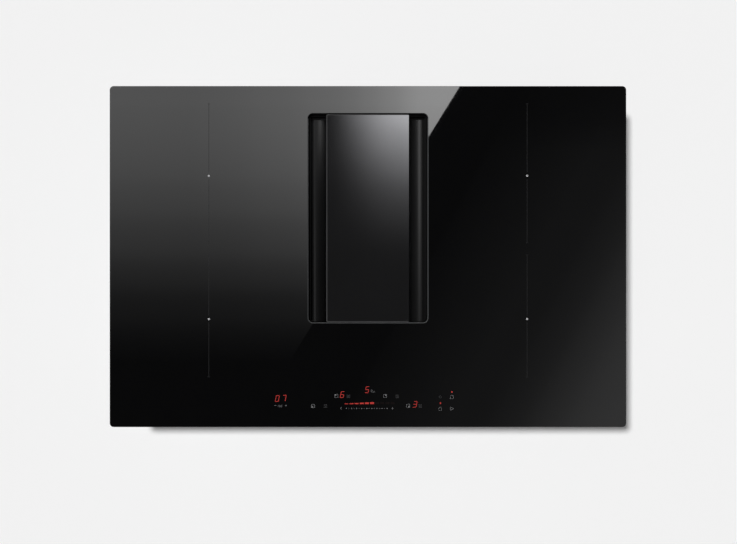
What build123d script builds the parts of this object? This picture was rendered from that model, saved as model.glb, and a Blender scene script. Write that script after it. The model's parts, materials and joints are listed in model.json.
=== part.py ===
"""Downdraft induction cooktop, built in as the real one is.

Millimetres, +Z up, +X to the cook's right and +Y to the back. The origin is the centre
of the glass outline on the worktop's top face, where the gasket lies. Everything under
z = 0 hangs in the worktop's cut-out or in the cupboard below it.
"""

import os
from math import asin, cos, degrees, radians, sin, sqrt

from build123d import *

os.makedirs("parts", exist_ok=True)

# ---- clearances that many pieces share -------------------------------------------------
SEAT_GAP = 0.3  # a loose piece over the face that carries it
SLIP_GAP = 1.0  # beside a piece that is lifted out by hand
HOLE_GAP = 0.2  # a screw shank in its hole, on the radius
RUNNING_GAP = 0.05  # a shaft in its bearing, on the radius

# ---- glass and worktop -----------------------------------------------------------------
GLASS_W = 780.0
GLASS_D = 515.0
GLASS_T = 4.0
GLASS_CORNER_R = 6.0
GLASS_BEVEL = 1.0
GASKET_T = 2.0
GASKET_W = 10.0
GASKET_INSET = 1.5
WORKTOP_T = 30.0
CUTOUT_MARGIN_X = 15.0
CUTOUT_MARGIN_Y = 12.5

GLASS_Z = (GASKET_T, GASKET_T + GLASS_T)
UNDER_GLASS = GLASS_Z[0]
CUTOUT = (GLASS_W - 2 * CUTOUT_MARGIN_X, GLASS_D - 2 * CUTOUT_MARGIN_Y)

# ---- extraction opening, with the collar that lines it ---------------------------------
OPEN_W = 180.0
OPEN_D = 315.0
OPEN_REAR_MARGIN = 42.0
OPEN_CORNER_R = 7.0
OPEN_BEVEL = 1.2
COLLAR_WALL = 2.5
COLLAR_FLANGE = 14.0
COLLAR_DROP = 62.0
LEDGE_TOP = -48.0
LEDGE_W = 6.0
LEDGE_T = 2.5
SEAL_T = 1.5
SEAL_H = 7.0
SEAL_GAP = 0.1

OPENING = (OPEN_W, OPEN_D)
OPEN_Y = GLASS_D / 2 - OPEN_REAR_MARGIN - OPEN_D / 2
OPEN_CENTRE = (0.0, OPEN_Y)


def grown(size, margin):
    """Give a width and depth with the margin added on every side."""
    return (size[0] + 2 * margin, size[1] + 2 * margin)


COLLAR = grown(OPENING, COLLAR_WALL)
COLLAR_R = OPEN_CORNER_R + COLLAR_WALL
COLLAR_HOLE = grown(COLLAR, SEAL_T)
COLLAR_HOLE_R = COLLAR_R + SEAL_T

# ---- sheet-metal pan -------------------------------------------------------------------
SHEET = 1.2
PAN_GAP = 3.0
PAN_BOTTOM = -58.0
PAN_CORNER_R = 5.0
PAN_LIP = 6.0
VENT_SIZE = (4.0, 24.0)
VENT_PITCH = 11.0
VENT_COUNT = 16
BOSS_R = 4.0

PAN = grown(CUTOUT, -PAN_GAP)
PAN_FLOOR = PAN_BOTTOM + SHEET
PAN_X = PAN[0] / 2
PAN_Y = PAN[1] / 2

# ---- clamps that hold the pan down against the worktop ---------------------------------
CLAMP_Y = 150.0
CLAMP_W = 30.0
CLAMP_T = 1.5
CLAMP_REACH = 16.0
CLAMP_LEG = 20.0
CLAMP_SCREW_DROP = 12.0
CLAMP_HOLE_R = 2.5
SCREW_R = 2.0
SCREW_HEAD_R = 3.5
SCREW_HEAD_T = 2.0
CLAMP_SCREW_L = 8.0

CLAMP_TOP = -WORKTOP_T

# ---- touch control ---------------------------------------------------------------------
TOUCH_W = 300.0
TOUCH_D = 45.0
TOUCH_SETBACK = 44.5
TOUCH_DEPTH = 14.0
TOUCH_WALL = 2.0
TOUCH_RIB = 3.0
TOUCH_BOARD_LIFT = 5.0
BOARD_T = 1.6
DIGIT = (8.0, 15.0)
LENS_CORNER_R = 0.4
BAR = (80.0, 7.0)
LAMP_R = 2.0
PAD_R = 4.5
GLASS_BOND = 0.1

TOUCH_Y = -(GLASS_D / 2 - TOUCH_SETBACK)
TOUCH_REAR = TOUCH_Y + TOUCH_D / 2
TOUCH_FLOOR = UNDER_GLASS - TOUCH_DEPTH + TOUCH_WALL
TOUCH_BOARD_Z = (TOUCH_FLOOR + TOUCH_BOARD_LIFT, TOUCH_FLOOR + TOUCH_BOARD_LIFT + BOARD_T)
# columns counted from the strip's ends, and rows from its front and rear edges
FIRST_COLUMN = -TOUCH_W / 2
LAST_COLUMN = TOUCH_W / 2
FRONT_ROW = TOUCH_Y - TOUCH_D / 2
DIGIT_SPOTS = (
    (FIRST_COLUMN + 14.0, FRONT_ROW + 21.5),
    (FIRST_COLUMN + 24.0, FRONT_ROW + 21.5),
    (-39.0, FRONT_ROW + 26.5),
    (-1.5, TOUCH_REAR - 11.0),
    (LAST_COLUMN - 79.0, FRONT_ROW + 12.5),
)
BAR_SPOT = (3.0, FRONT_ROW + 14.0)
LAMP_SPOTS = ((LAST_COLUMN - 23.0, TOUCH_REAR - 10.0), (LAST_COLUMN - 41.0, FRONT_ROW + 16.5))
PAD_SPOTS = (
    (-83.0, FRONT_ROW + 11.0),
    (-65.0, FRONT_ROW + 11.0),
    (-52.0, FRONT_ROW + 24.0),
    (26.0, FRONT_ROW + 24.0),
    (44.0, FRONT_ROW + 24.0),
    (LAST_COLUMN - 62.0, FRONT_ROW + 12.5),
    (LAST_COLUMN - 41.0, TOUCH_REAR - 17.5),
    (LAST_COLUMN - 23.0, TOUCH_REAR - 19.5),
    (LAST_COLUMN - 41.0, FRONT_ROW + 7.0),
    (LAST_COLUMN - 23.0, FRONT_ROW + 7.0),
)

# ---- cooking zones ---------------------------------------------------------------------
FIELD_FRONT_GAP = 1.5
FIELD_REAR_GAP = 19.0
ZONE_GAP = 26.0
WIRE_R = 1.6
COIL_PITCH = 3.8
COIL_INNER_R = 28.0
COIL_RIM = 4.0
MICA_T = 0.8
MICA_MARGIN = 1.5
COIL_GAP = 0.4
FORMER_T = 3.0
FORMER_HOLE_R = 13.0
FERRITE_COUNT = 8
FERRITE_IN_R = 34.0
FERRITE_RIM = 9.0
FERRITE_W = 13.0
FERRITE_T = 5.0
CARRIER_T = 1.5
CARRIER_MARGIN = 9.0
CARRIER_HOLE_R = 8.0
POST_R = 5.0
POST_INSET = 4.0
POST_END_INSET = 12.0
SENSOR_R = 6.0
SENSOR_FLANGE_R = 11.0

FIELD_FRONT = TOUCH_REAR + FIELD_FRONT_GAP
FIELD_REAR = PAN_Y - PAN_LIP - FIELD_REAR_GAP
FORMER_R = (FIELD_REAR - FIELD_FRONT - ZONE_GAP) / 4
COIL_TURNS = int((FORMER_R - COIL_RIM - COIL_INNER_R - WIRE_R) / COIL_PITCH)
ZONE_X = (GLASS_W / 2 + OPEN_W / 2) / 2
ZONE_Y_REAR = FIELD_REAR - FORMER_R
ZONE_Y_FRONT = FIELD_FRONT + FORMER_R
FIELD_Y = (ZONE_Y_REAR + ZONE_Y_FRONT) / 2
ZONE_STEP = (ZONE_Y_REAR - ZONE_Y_FRONT) / 2
COIL_R = COIL_INNER_R + COIL_TURNS * COIL_PITCH + WIRE_R
MICA_Z = (UNDER_GLASS - MICA_T, UNDER_GLASS)
WIRE_Z = MICA_Z[0] - COIL_GAP - WIRE_R
FORMER_TOP = WIRE_Z - WIRE_R
FORMER_Z = (FORMER_TOP - FORMER_T, FORMER_TOP)
FERRITE_Z = (FORMER_Z[0] - FERRITE_T, FORMER_Z[0])
FERRITE_OUT_R = FORMER_R - FERRITE_RIM
CARRIER_Z = (FERRITE_Z[0] - CARRIER_T, FERRITE_Z[0])
CARRIER = (2 * (FORMER_R + CARRIER_MARGIN), 2 * (ZONE_STEP + FORMER_R))
MICA = (CARRIER[0] + 2 * MICA_MARGIN, 2 * (ZONE_STEP + COIL_R) + 2 * MICA_MARGIN)

# ---- cooling fans, lying on the pan's floor --------------------------------------------
FAN_SIZE = 80.0
FAN_H = 25.0
FAN_CORNER_R = 6.0
FAN_BORE_R = 37.5
FAN_SIDE_GAP = 40.8
FAN_FRONT_GAP = 10.8
FAN_HUB_R = 16.0
FAN_HUB_H = 18.0
FAN_STRUT_W = 4.0
FAN_STRUT_T = 3.0
FAN_PIN_R = 2.5
FAN_PIN_L = 12.0
FAN_BLADES = 7
FAN_TIP_R = 35.0
FAN_CHORD = 20.0
FAN_BLADE_T = 1.5
FAN_PITCH_DEG = 35.0
INTAKE_SLOTS = 6
INTAKE_SLOT_W = 6.0

FAN_X = PAN_X - SHEET - FAN_SIDE_GAP - FAN_SIZE / 2
FAN_Y = -(PAN_Y - SHEET - FAN_FRONT_GAP - FAN_SIZE / 2)
FAN_REAR = FAN_Y + FAN_SIZE / 2

# ---- power electronics -----------------------------------------------------------------
BOARD_LIFT = 6.0
BOARD_SIDE_GAP = 5.0
POWER_BOARD_L = 330.0
BOSS_INSET = 10.0
HEATSINK = (60.0, 200.0)
HEATSINK_RIM = 5.0
HEATSINK_FRONT = 55.0
HEATSINK_BASE = 5.0
HEATSINK_H = 27.0
FIN_COUNT = 9
FIN_T = 2.0
CAPACITOR_R = 11.0
CAPACITOR_H = 30.0
CAPACITOR_PITCH = 30.0
CAPACITOR_IN = 50.0
CAPACITOR_REAR = 90.0
CHOKE_R = 17.0
CHOKE_BORE_R = 8.0
CHOKE_H = 16.0
CHOKE_IN = 50.0
CHOKE_FRONT = 80.0
CHOKE_PITCH = 45.0

POST_OUT_X = CARRIER[0] / 2 - POST_INSET
POWER_BOARD = (2 * (POST_OUT_X - POST_R - BOARD_SIDE_GAP), POWER_BOARD_L)
BOARD_Z = (PAN_FLOOR + BOARD_LIFT, PAN_FLOOR + BOARD_LIFT + BOARD_T)
POWER_BOARD_Y = (FAN_REAR + PAN_Y - SHEET) / 2
HEATSINK_X = ZONE_X + (POWER_BOARD[0] - HEATSINK[0]) / 2 - HEATSINK_RIM
HEATSINK_Y = POWER_BOARD_Y - HEATSINK_FRONT
CAPACITOR_X = ZONE_X - CAPACITOR_IN
CAPACITOR_Y = POWER_BOARD_Y + CAPACITOR_REAR
CHOKE_X = ZONE_X - CHOKE_IN
CHOKE_Y = POWER_BOARD_Y - CHOKE_FRONT

# ---- mains terminal under the pan ------------------------------------------------------
TERMINAL_SIZE = (110.0, 65.0)
TERMINAL_OUT = 25.0
TERMINAL_REAR_GAP = 27.0
TERMINAL_H = 34.0
TERMINAL_WALL = 2.5
TERMINAL_COVER_T = 2.5
TERMINAL_SCREW_INSET = 6.0
TERMINAL_SCREW_L = 12.0
TERMINAL_BLOCK = (70.0, 24.0, 18.0)
TERMINAL_POLES = 5
TERMINAL_POLE_PITCH = 13.0
TERMINAL_HOLE_R = 2.5
INLET_R = 10.5
INLET_BORE_R = 8.0
INLET_FLANGE_R = 13.0
INLET_FLANGE_T = 3.0
INLET_L = 16.0
LEAD_HOLE_R = 6.0

TERMINAL_Z = (PAN_BOTTOM - TERMINAL_H, PAN_BOTTOM)
TERMINAL_MID_X = -(ZONE_X + TERMINAL_OUT)
TERMINAL_MID_Y = PAN_Y - TERMINAL_REAR_GAP - TERMINAL_SIZE[1] / 2
TERMINAL_X = (TERMINAL_MID_X - TERMINAL_SIZE[0] / 2, TERMINAL_MID_X + TERMINAL_SIZE[0] / 2)
TERMINAL_Y = (TERMINAL_MID_Y - TERMINAL_SIZE[1] / 2, TERMINAL_MID_Y + TERMINAL_SIZE[1] / 2)
INLET_Z = (TERMINAL_Z[0] + TERMINAL_Z[1]) / 2

# ---- fan housing below the pan ---------------------------------------------------------
HOUSING_WALL = 3.0
HOUSING_CORNER_R = 6.0
HOUSING_SIDE = 24.0
HOUSING_END = 20.5
SPLIT_Z = -111.0
HOUSING_BOTTOM = -205.0
PARTITION_GAP = 17.0
SCROLL_WALL = 2.0
SCROLL_START_R = 100.0
SCROLL_GROWTH = 15.0
SCROLL_SIDE_GAP = 10.0
TONGUE_DEG = 120.0
DIFFUSER_SLANT = 27.0
DUCT = (222.0, 89.0)
DUCT_WALL = 2.0
DUCT_OUT = 20.0
DUCT_FLANGE = 3.0
INLET_PLATE_T = 3.0
BELL_R = 66.0
BELL_WALL = 3.0
BELL_DROP = 5.0
BELL_FILLET = 2.0

PLENUM_X0 = -(OPEN_W / 2 + HOUSING_SIDE - HOUSING_WALL)
PARTITION_X = (OPEN_W / 2 + PARTITION_GAP, OPEN_W / 2 + PARTITION_GAP + HOUSING_WALL)
SCROLL_X = PARTITION_X[1] + SCROLL_SIDE_GAP + SCROLL_START_R
SCROLL_Y = OPEN_Y
# the scroll's last arc has its centre one growth out and its radius two growths up
SCROLL_RIGHT = SCROLL_X + SCROLL_START_R + 3 * SCROLL_GROWTH
CHAMBER_X1 = SCROLL_RIGHT + SLIP_GAP
HALF_INNER = OPEN_D / 2 + HOUSING_END - HOUSING_WALL
INNER_Y = (OPEN_Y - HALF_INNER, OPEN_Y + HALF_INNER)
HOUSING_X = (PLENUM_X0 - HOUSING_WALL, CHAMBER_X1 + HOUSING_WALL)
HOUSING_Y = (INNER_Y[0] - HOUSING_WALL, INNER_Y[1] + HOUSING_WALL)
HOUSING = (HOUSING_X[1] - HOUSING_X[0], HOUSING_Y[1] - HOUSING_Y[0])
HOUSING_CENTRE = ((HOUSING_X[0] + HOUSING_X[1]) / 2, OPEN_Y)
LOWER_FLOOR = HOUSING_BOTTOM + HOUSING_WALL
SCROLL_Z = (LOWER_FLOOR, LOWER_FLOOR + DUCT[1])
INLET_PLATE_Z = (SCROLL_Z[1], SCROLL_Z[1] + INLET_PLATE_T)
DUCT_X = (SCROLL_RIGHT - DUCT[0], SCROLL_RIGHT)
DUCT_MID = ((DUCT_X[0] + DUCT_X[1]) / 2, (SCROLL_Z[0] + SCROLL_Z[1]) / 2)

# ---- screws of the housing -------------------------------------------------------------
LUG_OUT = 4.0
LUG_W = 10.0
LUG_T = 4.0
LUG_Y_SIDE = (-60.0, 178.0)
LUG_X_FRONT = (-60.0, 240.0)
LUG_X_REAR = (0.0,)
PAN_SCREW_INSET = 11.0
PAN_SCREW_Y = (-80.0, 58.0, 196.0)
PAN_SCREW_BOSS_R = 5.0
PAN_SCREW_BOSS_H = 9.0

# ---- extraction motor and impeller -----------------------------------------------------
MOTOR_FLANGE_R = 50.0
MOTOR_FLANGE_T = 3.0
MOTOR_SCREW_MID_R = 43.0
MOTOR_SCREW_COUNT = 3
MOTOR_SCREW_L = 5.0
MOTOR_HEAD_T = 1.6
BEARING_R = 8.0
SHAFT_R = 4.0
SHAFT_FOOT = 5.0
CORE_R = 36.5
CORE_H = 26.0
CORE_LIFT = 9.0
CORE_SLOTS = 12
CORE_SLOT_R = 4.0
CORE_SLOT_MID_R = 27.0
CAN_R = 40.0
CAN_WALL = 2.0
CAN_H = 42.0
CAN_LIFT = 10.0
HUB_GAP = 1.0
HUB_WALL = 2.0
IMPELLER_R = 90.0
IMPELLER_LIFT = 6.0
IMPELLER_H = 78.0
IMPELLER_BACK_T = 2.0
IMPELLER_RING_IN_R = 74.0
BLADE_COUNT = 36
BLADE_IN_R = 70.0
BLADE_OUT_R = 88.0
BLADE_T = 1.6
BLADE_SWEEP_DEG = 13.0
BLADE_CAMBER = 4.0

CAN_TOP = LOWER_FLOOR + CAN_LIFT + CAN_H
HUB_R = CAN_R + HUB_GAP + HUB_WALL
IMPELLER_Z = (LOWER_FLOOR + IMPELLER_LIFT, LOWER_FLOOR + IMPELLER_LIFT + IMPELLER_H)

# ---- odour filter ----------------------------------------------------------------------
ODOUR = (26.5, 238.0, 44.0)
ODOUR_WALL = 3.0
ODOUR_CELL = 5.6
ODOUR_PITCH = 7.6
ODOUR_ROWS = 5
ODOUR_COLUMNS = 30
ODOUR_DROP = 2.0
SHELF_T = 2.2
WINDOW_MARGIN = 2.0

# ---- drip tray -------------------------------------------------------------------------
TRAY_H = 38.0
TRAY_WALL = 2.0
TRAY_FRONT_T = 3.0
TRAY_MARGIN = 3.0
TRAY_GRIP = (80.0, 12.0, 6.0)
TRAY_MOUTH_H = 42.0
RUNNER_W = 12.0
RUNNER_H = 2.2
TRAY_SIDE_GAP = 6.0

# ---- air guide that lifts out of the opening -------------------------------------------
GUIDE_WALL = 2.5
GUIDE_CORNER_R = 6.0
RIM_TOP = -6.0
GUTTER_W = 4.0
GUTTER_REAR = 4.5
GUTTER_TOP = -14.0
LIP_TOP = -8.0
LIP_R = 20.0
FILTER_SEAT = 6.0
FILTER_LEDGE_T = 2.0
REST_W = 8.0
REST_MARGIN = 6.5
REST_TOP = 0.3
REST_T = 2.5

GUIDE = grown(OPENING, -SLIP_GAP)
GUIDE_X = GUIDE[0] / 2
GUIDE_Y = (OPEN_Y - GUIDE[1] / 2, OPEN_Y + GUIDE[1] / 2)
LIP_X = GUIDE_X - GUIDE_WALL - GUTTER_W
LIP_FOOT_X = LIP_X - LIP_R
LIP_REAR = GUIDE_Y[1] - GUIDE_WALL - GUTTER_REAR

# ---- grease filter with its bail -------------------------------------------------------
FILTER_L = 286.0
FILTER_H = 12.0
FILTER_WALL = 6.0
MESH_T = 3.0
MESH_HOLE_R = 3.2
MESH_PITCH = (8.8, 10.8)
MESH_COLUMNS = 12
MESH_ROWS = 12
BAR_W = 9.0
EAR_X = (14.0, 17.0)
EAR_D = 7.0
EAR_RISE = 3.5
BAIL_R = 1.5
BAIL_W = 44.0
BAIL_L = 24.0
BAIL_PIN_X = 13.0
BAIL_BEND_PIN = 2.5
BAIL_BEND = 7.0

FILTER_W = 2 * LIP_FOOT_X - 2 * SLIP_GAP
FILTER_Z = (LEDGE_TOP + FILTER_LEDGE_T, LEDGE_TOP + FILTER_LEDGE_T + FILTER_H)
BAIL_Z = FILTER_Z[1] + EAR_RISE

# ---- centre panel ----------------------------------------------------------------------
PANEL_W = 125.0
PANEL_T = 4.0
PANEL_BEVEL = 0.8
PANEL_R = 1.5
FOOT = (10.0, 5.0, 1.5)
FOOT_X = 45.0

PANEL_L = GUIDE[1]
PANEL_Z = (REST_TOP + FOOT[2], REST_TOP + FOOT[2] + PANEL_T)

FROM_START = (Align.CENTER, Align.CENTER, Align.MIN)


def finish(builder, name):
    """Label a finished piece and write its STEP file."""
    builder.part.label = name
    export_step(builder.part, f"parts/{name}.step")


def block(x, y, z, mode=Mode.ADD):
    """Add or cut a box between the limits x, y and z."""
    with Locations(((x[0] + x[1]) / 2, (y[0] + y[1]) / 2, (z[0] + z[1]) / 2)):
        Box(abs(x[1] - x[0]), abs(y[1] - y[0]), abs(z[1] - z[0]), mode=mode)


def slab(size, z, corner_r, centre=(0.0, 0.0), mode=Mode.ADD):
    """Add or cut a plate with rounded corners between the heights z."""
    with BuildSketch(Plane.XY.offset(z[0]), mode=Mode.PRIVATE) as outline:
        with Locations(centre):
            RectangleRounded(size[0], size[1], corner_r)
    extrude(outline.sketch, amount=z[1] - z[0], mode=mode)


def rod(start, axis, length, radius, mode=Mode.ADD):
    """Add or cut a cylinder that starts at a point and runs along an axis."""
    with Locations(Plane(origin=start, z_dir=axis)):
        Cylinder(radius, length, align=FROM_START, mode=mode)


def upright(spot, z, radius, mode=Mode.ADD):
    """Add or cut an upright cylinder at (x, y) between the heights z."""
    rod((spot[0], spot[1], z[0]), (0, 0, 1), z[1] - z[0], radius, mode)


def motor_ring(mid_radius, count, z, radius, mode=Mode.ADD):
    """Add or cut a ring of upright cylinders around the motor's axis."""
    with Locations((SCROLL_X, SCROLL_Y, z[0])):
        with PolarLocations(mid_radius, count):
            Cylinder(radius, z[1] - z[0], align=FROM_START, mode=mode)


def around(centre, half_width, half_depth):
    """Give the four corners of a rectangle around a centre."""
    return [
        (centre[0] + side * half_width, centre[1] + end * half_depth)
        for side in (-1, 1)
        for end in (-1, 1)
    ]


SIDES = {"left": -1, "right": 1}
DIAGONAL = sqrt(0.5)  # sine and cosine of half a right angle
CLAMP_SPOTS = around((0.0, 0.0), PAN_X, CLAMP_Y)
CLAMP_SCREW_Z = CLAMP_TOP - CLAMP_SCREW_DROP
PAN_SCREW_SPOTS = [(PLENUM_X0 + PAN_SCREW_INSET - HOUSING_WALL, y) for y in PAN_SCREW_Y]
PAN_SCREW_SPOTS += [(CHAMBER_X1 - PAN_SCREW_INSET + HOUSING_WALL, y) for y in PAN_SCREW_Y]
LUG_SPOTS = [(HOUSING_X[0] - LUG_OUT, y) for y in LUG_Y_SIDE]
LUG_SPOTS += [(HOUSING_X[1] + LUG_OUT, y) for y in LUG_Y_SIDE]
LUG_SPOTS += [(x, HOUSING_Y[0] - LUG_OUT) for x in LUG_X_FRONT]
LUG_SPOTS += [(x, HOUSING_Y[1] + LUG_OUT) for x in LUG_X_REAR]


# ==== glass, gasket, collar =============================================================
with BuildPart() as glass_top:
    slab((GLASS_W, GLASS_D), GLASS_Z, GLASS_CORNER_R)
    slab(OPENING, GLASS_Z, OPEN_CORNER_R, OPEN_CENTRE, Mode.SUBTRACT)
    top_face = glass_top.faces().sort_by(Axis.Z)[-1]
    chamfer(top_face.outer_wire().edges(), GLASS_BEVEL)
    top_face = glass_top.faces().sort_by(Axis.Z)[-1]
    chamfer(top_face.inner_wires()[0].edges(), OPEN_BEVEL)
finish(glass_top, "glass_top")

with BuildPart() as worktop_gasket:
    gasket = grown((GLASS_W, GLASS_D), -GASKET_INSET)
    gasket_z = (0.0, GASKET_T)
    slab(gasket, gasket_z, GLASS_CORNER_R)
    slab(grown(gasket, -GASKET_W), gasket_z, GLASS_CORNER_R, mode=Mode.SUBTRACT)
finish(worktop_gasket, "worktop_gasket")

with BuildPart() as inlet_collar:
    collar_z = (-COLLAR_DROP, UNDER_GLASS)
    ledge_z = (LEDGE_TOP - LEDGE_T, LEDGE_TOP)
    ledge_window = grown(OPENING, -LEDGE_W)
    slab(COLLAR, collar_z, COLLAR_R, OPEN_CENTRE)
    slab(grown(OPENING, COLLAR_FLANGE), (0.0, UNDER_GLASS), COLLAR_R, OPEN_CENTRE)
    slab(OPENING, collar_z, OPEN_CORNER_R, OPEN_CENTRE, Mode.SUBTRACT)
    slab(grown(OPENING, COLLAR_WALL / 2), ledge_z, COLLAR_R, OPEN_CENTRE)
    slab(ledge_window, ledge_z, OPEN_CORNER_R, OPEN_CENTRE, Mode.SUBTRACT)
finish(inlet_collar, "inlet_collar")

with BuildPart() as collar_seal:
    seal_z = (PAN_BOTTOM - HOUSING_WALL, PAN_BOTTOM - HOUSING_WALL + SEAL_H)
    slab(grown(COLLAR_HOLE, -SEAL_GAP), seal_z, COLLAR_HOLE_R, OPEN_CENTRE)
    slab(grown(COLLAR, SEAL_GAP), seal_z, COLLAR_R, OPEN_CENTRE, Mode.SUBTRACT)
finish(collar_seal, "collar_seal")


# ==== pan and clamps ====================================================================
with BuildPart() as base_pan:
    slab(PAN, (PAN_BOTTOM, PAN_FLOOR), PAN_CORNER_R)
    slab(COLLAR_HOLE, (PAN_BOTTOM, PAN_FLOOR), COLLAR_HOLE_R, OPEN_CENTRE, Mode.SUBTRACT)
    for side in SIDES.values():
        board_centre = (side * ZONE_X, POWER_BOARD_Y)
        boss_half = (POWER_BOARD[0] / 2 - BOSS_INSET, POWER_BOARD[1] / 2 - BOSS_INSET)
        for spot in around(board_centre, *boss_half):
            upright(spot, (PAN_FLOOR, BOARD_Z[0]), BOSS_R)
        for slot in range(INTAKE_SLOTS):
            slot_out = (slot - (INTAKE_SLOTS - 1) / 2) * 2 * INTAKE_SLOT_W
            slot_half = sqrt(FAN_BORE_R**2 - slot_out**2) - INTAKE_SLOT_W / 2
            block(
                (side * FAN_X - slot_half, side * FAN_X + slot_half),
                (FAN_Y + slot_out - INTAKE_SLOT_W / 2, FAN_Y + slot_out + INTAKE_SLOT_W / 2),
                (PAN_BOTTOM, PAN_FLOOR),
                Mode.SUBTRACT,
            )
    for spot in PAN_SCREW_SPOTS:
        upright(spot, (PAN_BOTTOM, PAN_FLOOR), SCREW_R + HOLE_GAP, Mode.SUBTRACT)
    lead_hole = (TERMINAL_X[1] - TERMINAL_WALL - LEAD_HOLE_R - SLIP_GAP, TERMINAL_MID_Y)
    upright(lead_hole, (PAN_BOTTOM, PAN_FLOOR), LEAD_HOLE_R, Mode.SUBTRACT)
finish(base_pan, "base_pan")

with BuildPart() as pan_walls:
    pan_inner = grown(PAN, -SHEET)
    slab(PAN, (PAN_FLOOR, UNDER_GLASS), PAN_CORNER_R)
    slab(pan_inner, (PAN_FLOOR, UNDER_GLASS - SHEET), PAN_CORNER_R - SHEET, mode=Mode.SUBTRACT)
    slab(grown(PAN, -PAN_LIP), (UNDER_GLASS - SHEET, UNDER_GLASS), SHEET, mode=Mode.SUBTRACT)
    for side in SIDES.values():
        for vent in range(VENT_COUNT):
            vent_x = side * ZONE_X + (vent - (VENT_COUNT - 1) / 2) * VENT_PITCH
            vent_mid_z = (PAN_FLOOR + CARRIER_Z[0]) / 2
            block(
                (vent_x - VENT_SIZE[0] / 2, vent_x + VENT_SIZE[0] / 2),
                (PAN_Y - SHEET, PAN_Y),
                (vent_mid_z - VENT_SIZE[1] / 2, vent_mid_z + VENT_SIZE[1] / 2),
                Mode.SUBTRACT,
            )
    for x, y in CLAMP_SPOTS:
        inward = (-1 if x > 0 else 1, 0, 0)
        rod((x, y, CLAMP_SCREW_Z), inward, SHEET, SCREW_R + HOLE_GAP, Mode.SUBTRACT)
finish(pan_walls, "pan_walls")

with BuildPart() as clamp_brackets:
    for x, y in CLAMP_SPOTS:
        outward = 1 if x > 0 else -1
        span_y = (y - CLAMP_W / 2, y + CLAMP_W / 2)
        foot_z = (CLAMP_TOP - CLAMP_T, CLAMP_TOP)
        block((x, x + outward * CLAMP_T), span_y, (CLAMP_TOP - CLAMP_LEG, CLAMP_TOP))
        block((x, x + outward * CLAMP_REACH), span_y, foot_z)
        upright((x + outward * CLAMP_REACH / 2, y), foot_z, CLAMP_HOLE_R, Mode.SUBTRACT)
        rod((x, y, CLAMP_SCREW_Z), (outward, 0, 0), CLAMP_T, SCREW_R + HOLE_GAP, Mode.SUBTRACT)
finish(clamp_brackets, "clamp_brackets")

with BuildPart() as clamp_screws:
    for x, y in CLAMP_SPOTS:
        outward = 1 if x > 0 else -1
        seat = (x + outward * CLAMP_T, y, CLAMP_SCREW_Z)
        rod(seat, (outward, 0, 0), SCREW_HEAD_T, SCREW_HEAD_R)
        rod(seat, (-outward, 0, 0), CLAMP_SCREW_L, SCREW_R)
finish(clamp_screws, "clamp_screws")


# ==== cooking zones =====================================================================
def spiral_coil(centre):
    """Wind one flat coil as half circles whose centre steps to and fro by half a pitch."""
    with BuildPart() as coil:
        with BuildLine(Plane.XY.offset(WIRE_Z)) as path:
            for half in range(2 * COIL_TURNS):
                step = COIL_PITCH / 2
                way = 1 if half % 2 == 0 else -1
                radius = COIL_INNER_R + half * step
                mid_x = centre[0] + (0.0 if way > 0 else step)
                ThreePointArc(
                    (mid_x + way * radius, centre[1]),
                    (mid_x, centre[1] + way * radius),
                    (mid_x - way * radius, centre[1]),
                )
        with BuildSketch(path.line ^ 0):
            Circle(WIRE_R)
        sweep(path=path.line)
    return coil, path.line


def least_wire_gap(line):
    """Measure the least clear space from points on each half turn to the next turn out."""
    halves = line.edges()
    spans = [
        Vertex(*(inner @ place)).distance_to(outer)
        for inner, outer in zip(halves, halves[2:])
        for place in (0.0, 0.25, 0.5, 0.75, 1.0)
    ]
    return min(spans) - 2 * WIRE_R


ZONES = {
    f"{row}_{side}": (sign * ZONE_X, y)
    for side, sign in SIDES.items()
    for row, y in (("rear", ZONE_Y_REAR), ("front", ZONE_Y_FRONT))
}

for zone, centre in ZONES.items():
    coil, wire_line = spiral_coil(centre)
    finish(coil, f"coil_{zone}")
    with BuildPart() as former:
        upright(centre, FORMER_Z, FORMER_R)
        upright(centre, FORMER_Z, FORMER_HOLE_R, Mode.SUBTRACT)
    finish(former, f"former_{zone}")
print(f"least gap between coil turns: {least_wire_gap(wire_line):.2f} mm")

with BuildPart() as ferrite_bars:
    for x, y in ZONES.values():
        with Locations((x, y, (FERRITE_Z[0] + FERRITE_Z[1]) / 2)):
            with PolarLocations((FERRITE_IN_R + FERRITE_OUT_R) / 2, FERRITE_COUNT):
                Box(FERRITE_OUT_R - FERRITE_IN_R, FERRITE_W, FERRITE_T)
finish(ferrite_bars, "ferrite_bars")

with BuildPart() as temperature_sensors:
    for centre in ZONES.values():
        upright(centre, (FORMER_Z[0], MICA_Z[0]), SENSOR_R)
        upright(centre, (FERRITE_Z[0], FORMER_Z[0]), SENSOR_FLANGE_R)
finish(temperature_sensors, "temperature_sensors")

post_front = FAN_REAR + SLIP_GAP + POST_R
post_rear = FIELD_REAR - POST_END_INSET
post_spots = [
    (side * ZONE_X + edge * POST_OUT_X, y)
    for side in SIDES.values()
    for edge in (-1, 1)
    for y in (post_front, (post_front + post_rear) / 2, post_rear)
]
with BuildPart() as mica_sheets:
    for side in SIDES.values():
        slab(MICA, MICA_Z, POST_INSET, (side * ZONE_X, FIELD_Y))
finish(mica_sheets, "mica_sheets")

with BuildPart() as carrier_plates:
    for side in SIDES.values():
        slab(CARRIER, CARRIER_Z, POST_INSET, (side * ZONE_X, FIELD_Y))
    for centre in ZONES.values():
        upright(centre, CARRIER_Z, CARRIER_HOLE_R, Mode.SUBTRACT)
finish(carrier_plates, "carrier_plates")

with BuildPart() as carrier_posts:
    for spot in post_spots:
        upright(spot, (PAN_FLOOR, CARRIER_Z[0]), POST_R)
finish(carrier_posts, "carrier_posts")


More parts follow.
